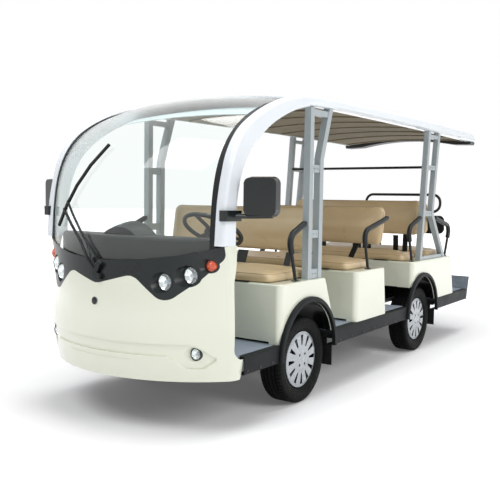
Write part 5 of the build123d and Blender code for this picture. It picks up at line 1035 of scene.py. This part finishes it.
# Tyres: radial road tyres, 560 mm across, with four grooves round the tread and cross cuts in the
# shoulders. Each is one wedge of moulded pattern repeated sixty-four times round the ring.
def ring_tree():
    """Node tree that repeats one wedge round the wheel's axis and joins the pitches."""
    tree = bpy.data.node_groups.new("tyre_pitches", "GeometryNodeTree")
    tree_input(tree, "Wedge", "NodeSocketGeometry")
    tree_input(tree, "Pitches", "NodeSocketInt", 64)
    tree_input(tree, "Axle X", "NodeSocketFloat", 0.0)
    tree_input(tree, "Axle Y", "NodeSocketFloat", 0.0)
    tree_input(tree, "Axle Z", "NodeSocketFloat", 0.28)
    tree_input(tree, "Rubber", "NodeSocketMaterial")
    tree.interface.new_socket(name="Geometry", in_out="OUTPUT", socket_type="NodeSocketGeometry")
    given = add(tree, "NodeGroupInput").outputs
    line = {"Count": given["Pitches"], "Offset": (0, 0, 0)}
    pitches = add(tree, "GeometryNodeMeshLine", line)
    index = add(tree, "GeometryNodeInputIndex").outputs[0]
    share = add(tree, "ShaderNodeMath", {0: index, 1: given["Pitches"]}, operation="DIVIDE")
    turn = {0: share.outputs[0], 1: 2 * math.pi}
    turn = add(tree, "ShaderNodeMath", turn, operation="MULTIPLY")
    spin = add(tree, "ShaderNodeCombineXYZ", {"X": turn.outputs[0]})
    copies = {"Points": pitches.outputs[0], "Instance": given["Wedge"], "Rotation": spin.outputs[0]}
    ring = add(tree, "GeometryNodeInstanceOnPoints", copies)
    real = add(tree, "GeometryNodeRealizeInstances", {0: ring.outputs[0]})
    near = {"Geometry": real.outputs[0], "Distance": 0.00002}
    joined = add(tree, "GeometryNodeMergeByDistance", near)
    spot = add(tree, "ShaderNodeCombineXYZ", {axis: given[f"Axle {axis}"] for axis in "XYZ"})
    moved = {"Geometry": joined.outputs[0], "Translation": spot.outputs[0]}
    moved = add(tree, "GeometryNodeTransform", moved)
    paint = {"Geometry": moved.outputs[0], "Material": given["Rubber"]}
    painted = add(tree, "GeometryNodeSetMaterial", paint)
    add(tree, "NodeGroupOutput", {0: painted.outputs[0]})
    return tree


PITCHES = 64
TYRE_RADIUS, TYRE_X = 0.280, 0.625
GROOVES = (-0.040, -0.014, 0.014, 0.040)
GROOVE_HALF, GROOVE_DEPTH = 0.0035, 0.007
# Cuts in a pitch's shoulders and ribs, and its wall ridge: distance from the tyre's middle from and
# to, radius from and to, share of the pitch from and to, depth or height
TREAD_CUTS = (
    (0.044, 0.080, 0.262, 0.281, 0.08, 0.38, 0.005),
    (0.017, 0.037, 0.270, 0.281, 0.62, 0.95, 0.003),
)
WALL_RIDGES = ((0.077, 0.080, 0.232, 0.256, 0.38, 0.62, 0.0008),)
TREAD_HALF, TREAD_POINTS = 0.056, 57
# Side wall from the bead to the tread: distance from the tyre's middle, radius
SIDE_WALL = (
    (0.054, 0.168), (0.054, 0.183), (0.062, 0.190), (0.0690, 0.199), (0.0702, 0.2015),
    (0.0725, 0.2035), (0.0745, 0.212), (0.0775, 0.222), (0.0790, 0.2235), (0.0795, 0.232),
    (0.0798, 0.244), (0.0792, 0.2545), (0.0790, 0.2600), (0.0755, 0.2690), (0.0700, 0.2755),
    (0.0630, 0.2790),
)
WEDGE_TURNS = (0.0, 0.06, 0.10, 0.36, 0.40, 0.60, 0.64, 0.94, 1.0)


def tyre_outline():
    """Section of the tyre from one bead round the tread to the other: (x, radius)."""
    tread = []
    for x in np.linspace(TREAD_HALF, -TREAD_HALF, TREAD_POINTS):
        near = min(abs(x - groove) for groove in GROOVES)
        tread.append((float(x), TYRE_RADIUS - (GROOVE_DEPTH if near < GROOVE_HALF else 0.0)))
    return [*SIDE_WALL, *tread, *((-x, radius) for x, radius in reversed(SIDE_WALL))]


def depth_in(zones, x, radius, share):
    """Depth of the zone that a point of the pitch lies in, or 0."""
    for x_from, x_to, radius_from, radius_to, start, end, depth in zones:
        across_it = x_from < abs(x) < x_to and radius_from < radius < radius_to
        if across_it and start < share < end:
            return depth
    return 0.0


def tyre_wedge():
    """One pitch of the tyre: the section swept over its share of the turn, with cuts across it."""
    outline = tyre_outline()
    points = []
    for share in WEDGE_TURNS:
        angle = 2 * math.pi / PITCHES * share
        for x, radius in outline:
            r = radius - depth_in(TREAD_CUTS, x, radius, share)
            x_out = x - math.copysign(depth_in(WALL_RIDGES, x, radius, share), x)
            points.append((x_out, r * math.sin(angle), r * math.cos(angle)))
    count = len(outline)
    faces = []
    for low in range(0, (len(WEDGE_TURNS) - 1) * count, count):
        high = low + count
        for k in range(count):
            n = (k + 1) % count
            faces.append((low + k, high + k, high + n, low + n))
    mesh = bpy.data.meshes.new("tyre_wedge")
    mesh.from_pydata(points, [], faces)
    return mesh


tyre_rubber = surface(
    "tyre_carbon_rubber", "#0B0D0D", "#070808", 35, 0.6, 0.08, 2.0, 0.08,
    ("#1A1917", 60, 0.4), **{"Specular IOR Level": 0.12},
)
tyre_ring = ring_tree()
for body, corner, side, y in WHEELS:
    tyre = run_tree(
        f"road_tyre_{corner}", tyre_ring, tyre_wedge(), body,
        Pitches=PITCHES, Axle_X=side * TYRE_X, Axle_Y=y, Axle_Z=AXLE_Z, Rubber=tyre_rubber,
    )
    face_outwards(tyre.data)
    shade_smooth(tyre.data, 35)
    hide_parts(f"tyre_{corner}")

# Running gear: forged and cast steel with a thin black chassis paint, dusty from the road.
# The battery case is moulded polypropylene.
chassis_paint = surface(
    "chassis_black_paint", "#2A2C2D", "#1F2122", 60, 0.5, 0.12, 3, 0.08, ("#4C473F", 70, 0.5)
)
finish_node(chassis_paint, "chassis_frame")
forged_steel = surface(
    "forged_steel_painted", "#3A3D3F", "#2B2E30", 40, 0.45, 0.2, 4, 0.08,
    ("#544C42", 50, 0.5), Metallic=0.4,
)
finish_node(forged_steel, "front_axle", "rear_axle", "leaf_springs")
finish_node(forged_steel, "knuckle_left", "knuckle_right", "pitman_arm", "tie_rod")
case_plastic = surface("battery_case_polypropylene", "#33373A", "#2B2F32", 100, 0.5, 0.1, 3)
finish_node(case_plastic, "battery_pack")
